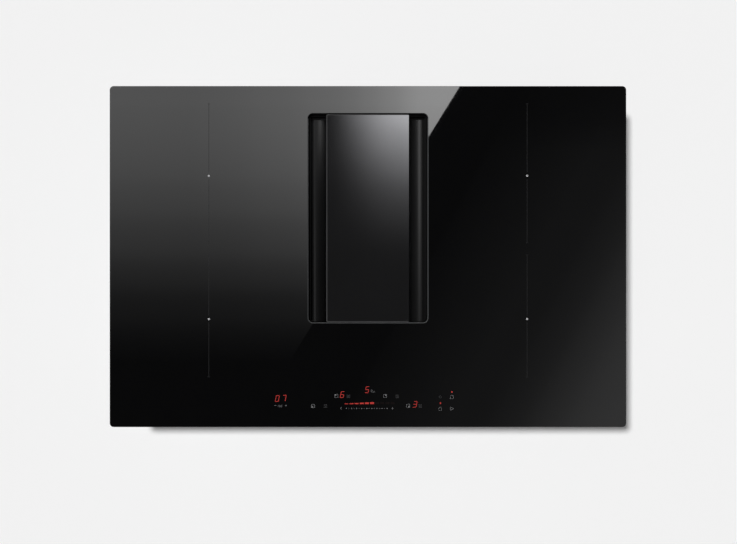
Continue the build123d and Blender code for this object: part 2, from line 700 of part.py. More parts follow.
# ==== power electronics =================================================================
for side_name, side in SIDES.items():
    with BuildPart() as power_board:
        slab(POWER_BOARD, BOARD_Z, BOARD_T, (side * ZONE_X, POWER_BOARD_Y))
    finish(power_board, f"power_board_{side_name}")
    with BuildPart() as heatsink:
        sink_y = (HEATSINK_Y - HEATSINK[1] / 2, HEATSINK_Y + HEATSINK[1] / 2)
        sink_x0 = side * HEATSINK_X - HEATSINK[0] / 2
        block((sink_x0, sink_x0 + HEATSINK[0]), sink_y, (BOARD_Z[1], BOARD_Z[1] + HEATSINK_BASE))
        for fin in range(FIN_COUNT):
            fin_x = sink_x0 + fin * (HEATSINK[0] - FIN_T) / (FIN_COUNT - 1)
            block((fin_x, fin_x + FIN_T), sink_y, (BOARD_Z[1], BOARD_Z[1] + HEATSINK_H))
    finish(heatsink, f"heatsink_{side_name}")

with BuildPart() as board_capacitors:
    for side in SIDES.values():
        for row in (-1, 0, 1):
            spot = (side * CAPACITOR_X, CAPACITOR_Y + row * CAPACITOR_PITCH)
            upright(spot, (BOARD_Z[1], BOARD_Z[1] + CAPACITOR_H), CAPACITOR_R)
finish(board_capacitors, "board_capacitors")

with BuildPart() as board_chokes:
    choke_z = (BOARD_Z[1], BOARD_Z[1] + CHOKE_H)
    for side in SIDES.values():
        for row in (-1, 1):
            spot = (side * CHOKE_X, CHOKE_Y + row * CHOKE_PITCH / 2)
            upright(spot, choke_z, CHOKE_R)
            upright(spot, choke_z, CHOKE_BORE_R, Mode.SUBTRACT)
finish(board_chokes, "board_chokes")

for side_name, side in SIDES.items():
    fan_spot = (side * FAN_X, FAN_Y)
    fan_z = (PAN_FLOOR, PAN_FLOOR + FAN_H)
    base_z = (PAN_FLOOR, PAN_FLOOR + FAN_STRUT_T)
    with BuildPart() as cooling_fan_frame:
        slab((FAN_SIZE, FAN_SIZE), fan_z, FAN_CORNER_R, fan_spot)
        upright(fan_spot, fan_z, FAN_BORE_R, Mode.SUBTRACT)
        strut_x = (fan_spot[0] - FAN_BORE_R - SLIP_GAP, fan_spot[0] + FAN_BORE_R + SLIP_GAP)
        strut_y = (fan_spot[1] - FAN_BORE_R - SLIP_GAP, fan_spot[1] + FAN_BORE_R + SLIP_GAP)
        block(strut_x, (FAN_Y - FAN_STRUT_W / 2, FAN_Y + FAN_STRUT_W / 2), base_z)
        block((fan_spot[0] - FAN_STRUT_W / 2, fan_spot[0] + FAN_STRUT_W / 2), strut_y, base_z)
        upright(fan_spot, base_z, FAN_HUB_R)
        upright(fan_spot, (base_z[1], base_z[1] + FAN_PIN_L), FAN_PIN_R)
    finish(cooling_fan_frame, f"cooling_fan_frame_{side_name}")
    with BuildPart() as cooling_fan_rotor:
        hub_z = (base_z[1] + SEAT_GAP, base_z[1] + SEAT_GAP + FAN_HUB_H)
        blade_mid = (FAN_HUB_R + FAN_TIP_R) / 2
        upright(fan_spot, hub_z, FAN_HUB_R)
        with Locations((fan_spot[0], fan_spot[1], (hub_z[0] + hub_z[1]) / 2)):
            with PolarLocations(blade_mid, FAN_BLADES):
                blade_size = (FAN_TIP_R - FAN_HUB_R + 2 * SLIP_GAP, FAN_CHORD, FAN_BLADE_T)
                Box(*blade_size, rotation=(FAN_PITCH_DEG, 0, 0))
        pin_bore_z = (hub_z[0], base_z[1] + FAN_PIN_L + SEAT_GAP)
        upright(fan_spot, pin_bore_z, FAN_PIN_R + RUNNING_GAP, Mode.SUBTRACT)
    finish(cooling_fan_rotor, f"cooling_fan_rotor_{side_name}")


# ==== touch control =====================================================================
with BuildPart() as touch_tray:
    tray_z = (UNDER_GLASS - TOUCH_DEPTH, UNDER_GLASS)
    touch_centre = (0.0, TOUCH_Y)
    touch_size = (TOUCH_W, TOUCH_D)
    touch_inner = grown(touch_size, -TOUCH_WALL)
    slab(touch_size, tray_z, TOUCH_WALL, touch_centre)
    slab(touch_inner, (TOUCH_BOARD_Z[0], UNDER_GLASS), SLIP_GAP, touch_centre, Mode.SUBTRACT)
    rib_window = grown(touch_inner, -TOUCH_RIB)
    slab(rib_window, (TOUCH_FLOOR, TOUCH_BOARD_Z[0]), SLIP_GAP, touch_centre, Mode.SUBTRACT)
finish(touch_tray, "touch_tray")

with BuildPart() as touch_board:
    slab(grown(touch_inner, -SEAT_GAP), TOUCH_BOARD_Z, SLIP_GAP, touch_centre)
finish(touch_board, "touch_board")

touch_z = (TOUCH_BOARD_Z[1], UNDER_GLASS - GLASS_BOND)
with BuildPart() as led_displays:
    for spot in DIGIT_SPOTS:
        slab(DIGIT, touch_z, LENS_CORNER_R, spot)
    slab(BAR, touch_z, LENS_CORNER_R, BAR_SPOT)
    for spot in LAMP_SPOTS:
        upright(spot, touch_z, LAMP_R)
finish(led_displays, "led_displays")

with BuildPart() as touch_pads:
    for spot in PAD_SPOTS:
        upright(spot, touch_z, PAD_R)
finish(touch_pads, "touch_pads")


# ==== mains terminal ====================================================================
terminal_corners = around(
    (TERMINAL_MID_X, TERMINAL_MID_Y),
    TERMINAL_SIZE[0] / 2 - TERMINAL_SCREW_INSET,
    TERMINAL_SIZE[1] / 2 - TERMINAL_SCREW_INSET,
)
cover_z = (TERMINAL_Z[0] - TERMINAL_COVER_T, TERMINAL_Z[0])

with BuildPart() as terminal_box:
    inner_x = (TERMINAL_X[0] + TERMINAL_WALL, TERMINAL_X[1] - TERMINAL_WALL)
    inner_y = (TERMINAL_Y[0] + TERMINAL_WALL, TERMINAL_Y[1] - TERMINAL_WALL)
    block(TERMINAL_X, TERMINAL_Y, TERMINAL_Z)
    block(inner_x, inner_y, TERMINAL_Z, Mode.SUBTRACT)
    for spot in terminal_corners:
        upright(spot, TERMINAL_Z, SCREW_HEAD_R + TERMINAL_WALL / 2)
        screw_hole_z = (TERMINAL_Z[0], TERMINAL_Z[0] + TERMINAL_SCREW_L)
        upright(spot, screw_hole_z, SCREW_R + HOLE_GAP, Mode.SUBTRACT)
    inlet_start = (TERMINAL_X[0], TERMINAL_MID_Y, INLET_Z)
    rod(inlet_start, (1, 0, 0), TERMINAL_WALL, INLET_R + HOLE_GAP / 2, Mode.SUBTRACT)
finish(terminal_box, "terminal_box")

with BuildPart() as terminal_cover:
    block(TERMINAL_X, TERMINAL_Y, cover_z)
    for spot in terminal_corners:
        upright(spot, cover_z, SCREW_R + HOLE_GAP, Mode.SUBTRACT)
finish(terminal_cover, "terminal_cover")

with BuildPart() as terminal_screws:
    for spot in terminal_corners:
        upright(spot, (cover_z[0] - SCREW_HEAD_T, cover_z[0]), SCREW_HEAD_R)
        upright(spot, (cover_z[0], cover_z[0] + TERMINAL_SCREW_L), SCREW_R)
finish(terminal_screws, "terminal_screws")

with BuildPart() as terminal_block:
    block_z = (PAN_BOTTOM - TERMINAL_BLOCK[2], PAN_BOTTOM)
    block(
        (TERMINAL_MID_X - TERMINAL_BLOCK[0] / 2, TERMINAL_MID_X + TERMINAL_BLOCK[0] / 2),
        (TERMINAL_MID_Y - TERMINAL_BLOCK[1] / 2, TERMINAL_MID_Y + TERMINAL_BLOCK[1] / 2),
        block_z,
    )
    for pole in range(TERMINAL_POLES):
        pole_x = TERMINAL_MID_X + (pole - (TERMINAL_POLES - 1) / 2) * TERMINAL_POLE_PITCH
        screw_depth = (block_z[0], block_z[0] + TERMINAL_BLOCK[2] / 2)
        upright((pole_x, TERMINAL_MID_Y), screw_depth, TERMINAL_HOLE_R, Mode.SUBTRACT)
        wire_start = (pole_x, TERMINAL_MID_Y - TERMINAL_BLOCK[1] / 2, sum(block_z) / 2)
        rod(wire_start, (0, 1, 0), TERMINAL_BLOCK[1], TERMINAL_HOLE_R, Mode.SUBTRACT)
finish(terminal_block, "terminal_block")

with BuildPart() as cable_inlet:
    rod(inlet_start, (1, 0, 0), INLET_L, INLET_R)
    rod(inlet_start, (-1, 0, 0), INLET_FLANGE_T, INLET_FLANGE_R)
    bore_start = (TERMINAL_X[0] - INLET_FLANGE_T, TERMINAL_MID_Y, INLET_Z)
    rod(bore_start, (1, 0, 0), INLET_FLANGE_T + INLET_L, INLET_BORE_R, Mode.SUBTRACT)
finish(cable_inlet, "cable_inlet")


# ==== fan housing =======================================================================
def lug_row(z):
    """Add the lugs around the housing between the heights z, with their screw holes."""
    for x, y in LUG_SPOTS:
        block((x - LUG_W / 2, x + LUG_W / 2), (y - LUG_W / 2, y + LUG_W / 2), z)
        upright((x, y), z, SCREW_R + HOLE_GAP, Mode.SUBTRACT)


odour_top = -COLLAR_DROP - ODOUR_DROP
odour_z = (odour_top - ODOUR[2], odour_top)
odour_y = (OPEN_Y - ODOUR[1] / 2, OPEN_Y + ODOUR[1] / 2)
odour_x = (PARTITION_X[0] - SEAT_GAP - ODOUR[0], PARTITION_X[0] - SEAT_GAP)

with BuildPart() as housing_upper:
    upper_z = (SPLIT_Z, PAN_BOTTOM)
    roof_z = (PAN_BOTTOM - HOUSING_WALL, PAN_BOTTOM)
    inside_z = (SPLIT_Z, roof_z[0])
    slab(HOUSING, upper_z, HOUSING_CORNER_R, HOUSING_CENTRE)
    lug_row((SPLIT_Z, SPLIT_Z + LUG_T))
    block((PLENUM_X0, PARTITION_X[0]), INNER_Y, inside_z, Mode.SUBTRACT)
    block((PARTITION_X[1], CHAMBER_X1), INNER_Y, inside_z, Mode.SUBTRACT)
    window_y = (odour_y[0] + WINDOW_MARGIN, odour_y[1] - WINDOW_MARGIN)
    window_z = (odour_z[0] + WINDOW_MARGIN, odour_z[1] - WINDOW_MARGIN)
    block(PARTITION_X, window_y, window_z, Mode.SUBTRACT)
    shelf_top = odour_z[0] - SEAT_GAP
    block((odour_x[0], PARTITION_X[0]), odour_y, (shelf_top - SHELF_T, shelf_top))
    slab(COLLAR_HOLE, roof_z, COLLAR_HOLE_R, OPEN_CENTRE, Mode.SUBTRACT)
    for spot in PAN_SCREW_SPOTS:
        boss_z = (roof_z[0] - PAN_SCREW_BOSS_H, roof_z[0])
        upright(spot, boss_z, PAN_SCREW_BOSS_R)
        upright(spot, (boss_z[0], PAN_BOTTOM), SCREW_R + HOLE_GAP, Mode.SUBTRACT)
finish(housing_upper, "housing_upper")

tray_floor = LOWER_FLOOR + RUNNER_H + SEAT_GAP
tray_x = (PLENUM_X0 + TRAY_SIDE_GAP, PARTITION_X[0] - TRAY_SIDE_GAP)
tray_y = (INNER_Y[0], INNER_Y[1] - TRAY_SIDE_GAP)
mouth_x = (tray_x[0] - SLIP_GAP, tray_x[1] + SLIP_GAP)
mouth_z = (LOWER_FLOOR, LOWER_FLOOR + TRAY_MOUTH_H)

with BuildPart() as housing_lower:
    room_z = (LOWER_FLOOR, SPLIT_Z)
    slab(HOUSING, room_z, HOUSING_CORNER_R, HOUSING_CENTRE)
    lug_row((SPLIT_Z - LUG_T, SPLIT_Z))
    block((PLENUM_X0, PARTITION_X[0]), INNER_Y, room_z, Mode.SUBTRACT)
    block((PARTITION_X[1], CHAMBER_X1), INNER_Y, room_z, Mode.SUBTRACT)
    block(mouth_x, (HOUSING_Y[0], INNER_Y[0]), mouth_z, Mode.SUBTRACT)
    duct_hole_z = (SCROLL_Z[0] - HOLE_GAP, SCROLL_Z[1] + HOLE_GAP)
    duct_hole_x = (DUCT_X[0] - HOLE_GAP, DUCT_X[1] + HOLE_GAP)
    block(duct_hole_x, (INNER_Y[1], HOUSING_Y[1]), duct_hole_z, Mode.SUBTRACT)
finish(housing_lower, "housing_lower")

with BuildPart() as housing_floor:
    slab(HOUSING, (HOUSING_BOTTOM, LOWER_FLOOR), HOUSING_CORNER_R, HOUSING_CENTRE)
    for edge, way in ((tray_x[0], 1), (tray_x[1], -1)):
        runner_z = (LOWER_FLOOR, LOWER_FLOOR + RUNNER_H)
        block((edge, edge + way * RUNNER_W), INNER_Y, runner_z)
    floor_z = (HOUSING_BOTTOM, LOWER_FLOOR)
    motor_ring(MOTOR_SCREW_MID_R, MOTOR_SCREW_COUNT, floor_z, SCREW_R + HOLE_GAP, Mode.SUBTRACT)
finish(housing_floor, "housing_floor")

with BuildPart() as scroll_housing:
    with BuildSketch(Plane.XY.offset(SCROLL_Z[0])):
        tongue_angle = radians(TONGUE_DEG)
        tongue = (
            SCROLL_X + SCROLL_START_R * cos(tongue_angle),
            SCROLL_Y + SCROLL_START_R * sin(tongue_angle),
        )
        half_way = radians((TONGUE_DEG + 180) / 2)
        second_x = SCROLL_X + SCROLL_GROWTH
        third_y = SCROLL_Y + SCROLL_GROWTH
        second_r = SCROLL_START_R + SCROLL_GROWTH
        third_r = second_r + SCROLL_GROWTH
        with BuildLine():
            wall_line = Line((tongue[0] - DIFFUSER_SLANT, INNER_Y[1]), tongue)
            first = ThreePointArc(
                tongue,
                (
                    SCROLL_X + SCROLL_START_R * cos(half_way),
                    SCROLL_Y + SCROLL_START_R * sin(half_way),
                ),
                (SCROLL_X - SCROLL_START_R, SCROLL_Y),
            )
            second = ThreePointArc(
                first @ 1,
                (second_x - second_r * DIAGONAL, SCROLL_Y - second_r * DIAGONAL),
                (second_x, SCROLL_Y - second_r),
            )
            third = ThreePointArc(
                second @ 1,
                (second_x + third_r * DIAGONAL, third_y - third_r * DIAGONAL),
                (SCROLL_RIGHT, third_y),
            )
            Polyline(third @ 1, (SCROLL_RIGHT, INNER_Y[1]), wall_line @ 0)
        make_face()
        offset(amount=-SCROLL_WALL, mode=Mode.SUBTRACT)
        with Locations(((tongue[0] - DIFFUSER_SLANT + SCROLL_RIGHT) / 2, INNER_Y[1])):
            mouth_w = SCROLL_RIGHT - tongue[0] + DIFFUSER_SLANT - 2 * SCROLL_WALL
            Rectangle(mouth_w, 2 * SCROLL_WALL, mode=Mode.SUBTRACT)
    extrude(amount=SCROLL_Z[1] - SCROLL_Z[0])
finish(scroll_housing, "scroll_housing")

with BuildPart() as inlet_plate:
    plate_x = (PARTITION_X[1] + HOLE_GAP, CHAMBER_X1 - HOLE_GAP)
    plate_y = (INNER_Y[0] + HOLE_GAP, INNER_Y[1] - HOLE_GAP)
    eye = (SCROLL_X, SCROLL_Y)
    bell_z = (INLET_PLATE_Z[0] - BELL_DROP, INLET_PLATE_Z[1])
    block(plate_x, plate_y, INLET_PLATE_Z)
    upright(eye, bell_z, BELL_R + BELL_WALL)
    upright(eye, bell_z, BELL_R, Mode.SUBTRACT)
    entry = inlet_plate.edges().filter_by(GeomType.CIRCLE).sort_by(Axis.Z)[-1]
    fillet(entry, BELL_FILLET)
finish(inlet_plate, "inlet_plate")

with BuildPart() as duct_collar:
    with BuildSketch(Plane.XZ.offset(-INNER_Y[1])):
        with Locations(DUCT_MID):
            Rectangle(*DUCT)
            Rectangle(DUCT[0] - 2 * DUCT_WALL, DUCT[1] - 2 * DUCT_WALL, mode=Mode.SUBTRACT)
    extrude(amount=-(HOUSING_WALL + DUCT_OUT))
    with BuildSketch(Plane.XZ.offset(-HOUSING_Y[1])):
        with Locations(DUCT_MID):
            Rectangle(*grown(DUCT, DUCT_FLANGE))
            Rectangle(*DUCT, mode=Mode.SUBTRACT)
    extrude(amount=-DUCT_FLANGE)
finish(duct_collar, "duct_collar")

with BuildPart() as housing_screws:
    for spot in LUG_SPOTS:
        lug_bottom = SPLIT_Z - LUG_T
        upright(spot, (lug_bottom - SCREW_HEAD_T, lug_bottom), SCREW_HEAD_R)
        upright(spot, (lug_bottom, SPLIT_Z + LUG_T), SCREW_R)
    for spot in PAN_SCREW_SPOTS:
        upright(spot, (PAN_FLOOR, PAN_FLOOR + SCREW_HEAD_T), SCREW_HEAD_R)
        upright(spot, (roof_z[0] - PAN_SCREW_BOSS_H, PAN_FLOOR), SCREW_R)
finish(housing_screws, "housing_screws")


# ==== motor and impeller ================================================================
motor_spot = (SCROLL_X, SCROLL_Y)

with BuildPart() as motor_stator:
    flange_z = (LOWER_FLOOR, LOWER_FLOOR + MOTOR_FLANGE_T)
    core_z = (LOWER_FLOOR + CORE_LIFT + CAN_WALL, LOWER_FLOOR + CORE_LIFT + CAN_WALL + CORE_H)
    tube_top = CAN_TOP - CAN_WALL - SEAT_GAP
    upright(motor_spot, flange_z, MOTOR_FLANGE_R)
    upright(motor_spot, (LOWER_FLOOR, tube_top), BEARING_R)
    upright(motor_spot, core_z, CORE_R)
    motor_ring(CORE_SLOT_MID_R, CORE_SLOTS, core_z, CORE_SLOT_R, Mode.SUBTRACT)
    motor_ring(MOTOR_SCREW_MID_R, MOTOR_SCREW_COUNT, flange_z, SCREW_R + HOLE_GAP, Mode.SUBTRACT)
    upright(motor_spot, (LOWER_FLOOR, tube_top), SHAFT_R + RUNNING_GAP, Mode.SUBTRACT)
finish(motor_stator, "motor_stator")

with BuildPart() as motor_screws:
    head_z = (flange_z[1], flange_z[1] + MOTOR_HEAD_T)
    shank_z = (flange_z[1] - MOTOR_SCREW_L, flange_z[1])
    motor_ring(MOTOR_SCREW_MID_R, MOTOR_SCREW_COUNT, head_z, SCREW_HEAD_R)
    motor_ring(MOTOR_SCREW_MID_R, MOTOR_SCREW_COUNT, shank_z, SCREW_R)
finish(motor_screws, "motor_screws")

with BuildPart() as motor_rotor:
    can_z = (CAN_TOP - CAN_H, CAN_TOP)
    upright(motor_spot, can_z, CAN_R)
    upright(motor_spot, (can_z[0], CAN_TOP - CAN_WALL), CAN_R - CAN_WALL, Mode.SUBTRACT)
    upright(motor_spot, (LOWER_FLOOR + SHAFT_FOOT, CAN_TOP), SHAFT_R)
finish(motor_rotor, "motor_rotor")

with BuildSketch() as one_blade:
    with BuildLine():
        half_in = degrees(asin(BLADE_T / 2 / BLADE_IN_R))
        half_out = degrees(asin(BLADE_T / 2 / BLADE_OUT_R))
        corners = [
            (BLADE_IN_R * cos(radians(-half_in)), BLADE_IN_R * sin(radians(-half_in))),
            (
                BLADE_OUT_R * cos(radians(BLADE_SWEEP_DEG - half_out)),
                BLADE_OUT_R * sin(radians(BLADE_SWEEP_DEG - half_out)),
            ),
            (
                BLADE_OUT_R * cos(radians(BLADE_SWEEP_DEG + half_out)),
                BLADE_OUT_R * sin(radians(BLADE_SWEEP_DEG + half_out)),
            ),
            (BLADE_IN_R * cos(radians(half_in)), BLADE_IN_R * sin(radians(half_in))),
        ]
        SagittaArc(corners[0], corners[1], -BLADE_CAMBER)
        Line(corners[1], corners[2])
        SagittaArc(corners[2], corners[3], BLADE_CAMBER)
        Line(corners[3], corners[0])
    make_face()

with BuildPart() as impeller:
    back_z = (IMPELLER_Z[0], IMPELLER_Z[0] + IMPELLER_BACK_T)
    ring_z = (IMPELLER_Z[1] - IMPELLER_BACK_T, IMPELLER_Z[1])
    hub_in_r = HUB_R - HUB_WALL
    upright(motor_spot, back_z, IMPELLER_R)
    upright(motor_spot, (back_z[0], CAN_TOP + HUB_WALL), HUB_R)
    upright(motor_spot, (back_z[0], CAN_TOP), hub_in_r, Mode.SUBTRACT)
    with BuildSketch(Plane.XY.offset(ring_z[0])):
        with Locations(motor_spot):
            Circle(IMPELLER_R)
            Circle(IMPELLER_RING_IN_R, mode=Mode.SUBTRACT)
    extrude(amount=IMPELLER_BACK_T)
    with BuildSketch(Plane.XY.offset(back_z[1])):
        with Locations(motor_spot):
            with PolarLocations(0, BLADE_COUNT):
                add(one_blade.sketch)
    extrude(amount=ring_z[0] - back_z[1])
finish(impeller, "impeller")


# ==== odour filter ======================================================================
with BuildPart() as odour_filter_frame:
    block(odour_x, odour_y, odour_z)
    core_y = (odour_y[0] + ODOUR_WALL, odour_y[1] - ODOUR_WALL)
    core_span_z = (odour_z[0] + ODOUR_WALL, odour_z[1] - ODOUR_WALL)
    block(odour_x, core_y, core_span_z, Mode.SUBTRACT)
finish(odour_filter_frame, "odour_filter_frame")

with BuildPart() as odour_filter_block:
    core_x = (odour_x[0] + ODOUR_WALL, odour_x[1] - ODOUR_WALL)
    block(core_x, core_y, core_span_z)
    with BuildSketch(Plane.YZ.offset(core_x[0])):
        with Locations((OPEN_Y, (odour_z[0] + odour_z[1]) / 2)):
            with GridLocations(ODOUR_PITCH, ODOUR_PITCH, ODOUR_COLUMNS, ODOUR_ROWS):
                Rectangle(ODOUR_CELL, ODOUR_CELL)
    extrude(amount=core_x[1] - core_x[0], mode=Mode.SUBTRACT)
finish(odour_filter_block, "odour_filter_block")


# ==== drip tray =========================================================================
with BuildPart() as drip_tray:
    tray_body_z = (tray_floor, tray_floor + TRAY_H)
    front_y = (HOUSING_Y[0] - SEAT_GAP - TRAY_FRONT_T, HOUSING_Y[0] - SEAT_GAP)
    basin_x = (tray_x[0] + TRAY_WALL, tray_x[1] - TRAY_WALL)
    basin_y = (tray_y[0] + TRAY_WALL, tray_y[1] - TRAY_WALL)
    block(tray_x, (front_y[1], tray_y[1]), tray_body_z)
    block(basin_x, basin_y, (tray_floor + TRAY_WALL, tray_body_z[1]), Mode.SUBTRACT)
    front_x = (tray_x[0] - TRAY_MARGIN, tray_x[1] + TRAY_MARGIN)
    block(front_x, front_y, (tray_floor - RUNNER_H, mouth_z[1] + TRAY_MARGIN))
    grip_mid_x = (tray_x[0] + tray_x[1]) / 2
    grip_z0 = (tray_body_z[0] + tray_body_z[1]) / 2
    block(
        (grip_mid_x - TRAY_GRIP[0] / 2, grip_mid_x + TRAY_GRIP[0] / 2),
        (front_y[0] - TRAY_GRIP[1], front_y[0]),
        (grip_z0, grip_z0 + TRAY_GRIP[2]),
    )
finish(drip_tray, "drip_tray")


# ==== air guide =========================================================================
lip_arc_z = LIP_TOP - LIP_R
gutter_z = (GUTTER_TOP - GUIDE_WALL, GUTTER_TOP)
filter_ledge_z = (LEDGE_TOP, LEDGE_TOP + FILTER_LEDGE_T)
filter_size = (FILTER_W, FILTER_L)
rest_x = PANEL_W / 2 - REST_MARGIN
front_wall_y = (GUIDE_Y[0], GUIDE_Y[0] + GUIDE_WALL)
rear_wall_y = (GUIDE_Y[1] - GUIDE_WALL, GUIDE_Y[1])


def lip_section(y, hollow):
    """Draw the right lip's section in the plane at y, whole or as its skin alone."""
    with BuildSketch(Plane.XZ.offset(-y), mode=Mode.PRIVATE) as section:
        with BuildLine():
            crown = (LIP_X, LIP_TOP)
            middle = (LIP_X - LIP_R * DIAGONAL, lip_arc_z + LIP_R * DIAGONAL)
            arc = ThreePointArc(crown, middle, (LIP_FOOT_X, lip_arc_z))
            Polyline(arc @ 1, (LIP_FOOT_X, LEDGE_TOP), (LIP_X, LEDGE_TOP), crown)
        make_face()
        if hollow:
            with BuildLine():
                inner_r = LIP_R - GUIDE_WALL
                inner_x = (LIP_FOOT_X + GUIDE_WALL, LIP_X - GUIDE_WALL)
                crown_z = lip_arc_z + sqrt(inner_r**2 - GUIDE_WALL**2)
                middle = (LIP_X - inner_r * DIAGONAL, lip_arc_z + inner_r * DIAGONAL)
                arc = ThreePointArc((inner_x[1], crown_z), middle, (inner_x[0], lip_arc_z))
                foot = ((inner_x[0], LEDGE_TOP), (inner_x[1], LEDGE_TOP))
                Polyline(arc @ 1, *foot, arc @ 0)
            make_face(mode=Mode.SUBTRACT)
    return section.sketch


with BuildPart() as air_guide:
    extrude(lip_section(LIP_REAR, hollow=True), amount=LIP_REAR - GUIDE_Y[0])
    extrude(lip_section(LIP_REAR, hollow=False), amount=GUIDE_WALL)
    extrude(lip_section(front_wall_y[1], hollow=False), amount=GUIDE_WALL)
    mirror(about=Plane.YZ)
    for side in SIDES.values():
        gutter_x = (side * LIP_X, side * GUIDE_X)
        corner_x = (side * LIP_FOOT_X, side * GUIDE_X)
        block((side * (GUIDE_X - GUIDE_WALL), side * GUIDE_X), GUIDE_Y, (LEDGE_TOP, RIM_TOP))
        block(gutter_x, GUIDE_Y, gutter_z)
        block(gutter_x, front_wall_y, (LEDGE_TOP, RIM_TOP))
        block(corner_x, (LIP_REAR, GUIDE_Y[1]), gutter_z)
        skin_x = (side * LIP_FOOT_X, side * (LIP_FOOT_X + GUIDE_WALL))
        block(skin_x, (LIP_REAR, GUIDE_Y[1]), (LEDGE_TOP, GUTTER_TOP))
    block((-GUIDE_X, GUIDE_X), rear_wall_y, (LEDGE_TOP, RIM_TOP))
    block((-LIP_FOOT_X, LIP_FOOT_X), front_wall_y, (LEDGE_TOP, lip_arc_z))
    for wall_y, rest_y in (
        (front_wall_y, (GUIDE_Y[0], GUIDE_Y[0] + REST_W)),
        (rear_wall_y, (GUIDE_Y[1] - REST_W, GUIDE_Y[1])),
    ):
        block((-rest_x, rest_x), wall_y, (LEDGE_TOP, REST_TOP))
        block((-rest_x, rest_x), rest_y, (REST_TOP - REST_T, REST_TOP))
    filter_window = grown(filter_size, -FILTER_SEAT)
    ledge_size = (2 * LIP_FOOT_X, GUIDE[1] - GUIDE_WALL)
    slab(ledge_size, filter_ledge_z, GUIDE_WALL, OPEN_CENTRE)
    slab(filter_window, filter_ledge_z, GUIDE_WALL, OPEN_CENTRE, Mode.SUBTRACT)
    slab(GUIDE, (LEDGE_TOP, REST_TOP), GUIDE_CORNER_R, OPEN_CENTRE, Mode.INTERSECT)
finish(air_guide, "air_guide")


# ==== grease filter =====================================================================
mesh_size = grown(filter_size, -FILTER_WALL)
mesh_x = (-mesh_size[0] / 2, mesh_size[0] / 2)
mesh_mid_z = (FILTER_Z[0] + FILTER_Z[1]) / 2
mesh_z = (mesh_mid_z - MESH_T / 2, mesh_mid_z + MESH_T / 2)
half_length = (mesh_size[1] - BAR_W) / 2

with BuildPart() as grease_filter_frame:
    slab(filter_size, FILTER_Z, GUIDE_WALL, OPEN_CENTRE)
    window_y = (OPEN_Y - mesh_size[1] / 2, OPEN_Y + mesh_size[1] / 2)
    block(mesh_x, window_y, FILTER_Z, Mode.SUBTRACT)
    block(mesh_x, (OPEN_Y - BAR_W / 2, OPEN_Y + BAR_W / 2), FILTER_Z)
    ear_y = (OPEN_Y - EAR_D / 2, OPEN_Y + EAR_D / 2)
    for side in SIDES.values():
        block((side * EAR_X[0], side * EAR_X[1]), ear_y, (FILTER_Z[1], BAIL_Z + EAR_D / 2))
    bore_start = (-EAR_X[1], OPEN_Y, BAIL_Z)
    rod(bore_start, (1, 0, 0), 2 * EAR_X[1], BAIL_R + 2 * RUNNING_GAP, Mode.SUBTRACT)
finish(grease_filter_frame, "grease_filter_frame")

with BuildPart() as grease_filter_mesh:
    for side in (-1, 1):
        half_mid_y = OPEN_Y + side * (BAR_W + half_length) / 2
        block(mesh_x, (half_mid_y - half_length / 2, half_mid_y + half_length / 2), mesh_z)
        with BuildSketch(Plane.XY.offset(mesh_z[0])):
            with Locations((0, half_mid_y)):
                with GridLocations(*MESH_PITCH, MESH_COLUMNS, MESH_ROWS):
                    Circle(MESH_HOLE_R)
        extrude(amount=MESH_T, mode=Mode.SUBTRACT)
finish(grease_filter_mesh, "grease_filter_mesh")

with BuildPart() as filter_handle:
    with BuildLine() as bail:
        FilletPolyline(
            (-BAIL_PIN_X, OPEN_Y, BAIL_Z),
            (-BAIL_W / 2, OPEN_Y, BAIL_Z),
            (-BAIL_W / 2, OPEN_Y - BAIL_L, BAIL_Z),
            (BAIL_W / 2, OPEN_Y - BAIL_L, BAIL_Z),
            (BAIL_W / 2, OPEN_Y, BAIL_Z),
            (BAIL_PIN_X, OPEN_Y, BAIL_Z),
            radius=[BAIL_BEND_PIN, BAIL_BEND, BAIL_BEND, BAIL_BEND_PIN],
        )
    with BuildSketch(bail.line ^ 0):
        Circle(BAIL_R)
    sweep(path=bail.line)
finish(filter_handle, "filter_handle")


# ==== centre panel ======================================================================
with BuildPart() as centre_panel:
    slab((PANEL_W, PANEL_L), PANEL_Z, PANEL_R, OPEN_CENTRE)
    chamfer(centre_panel.faces().sort_by(Axis.Z)[-1].edges(), PANEL_BEVEL)
finish(centre_panel, "centre_panel")

with BuildPart() as panel_feet:
    foot_z = (REST_TOP, PANEL_Z[0])
    for x, y in around(OPEN_CENTRE, FOOT_X, (GUIDE[1] - REST_W) / 2):
        block((x - FOOT[0] / 2, x + FOOT[0] / 2), (y - FOOT[1] / 2, y + FOOT[1] / 2), foot_z)
finish(panel_feet, "panel_feet")
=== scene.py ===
"""Looks of a built-in downdraft induction cooktop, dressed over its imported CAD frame.

Metres throughout, in the frame of the CAD model: +X to the cook's right, +Y to the back and
+Z up, with the origin at the centre of the glass on the worktop's top face.
"""

import json
import logging
from dataclasses import dataclass
from enum import Enum
from math import atan2, cos, hypot, pi, radians, sin

import bmesh
import bpy
from mathutils import Matrix, Vector

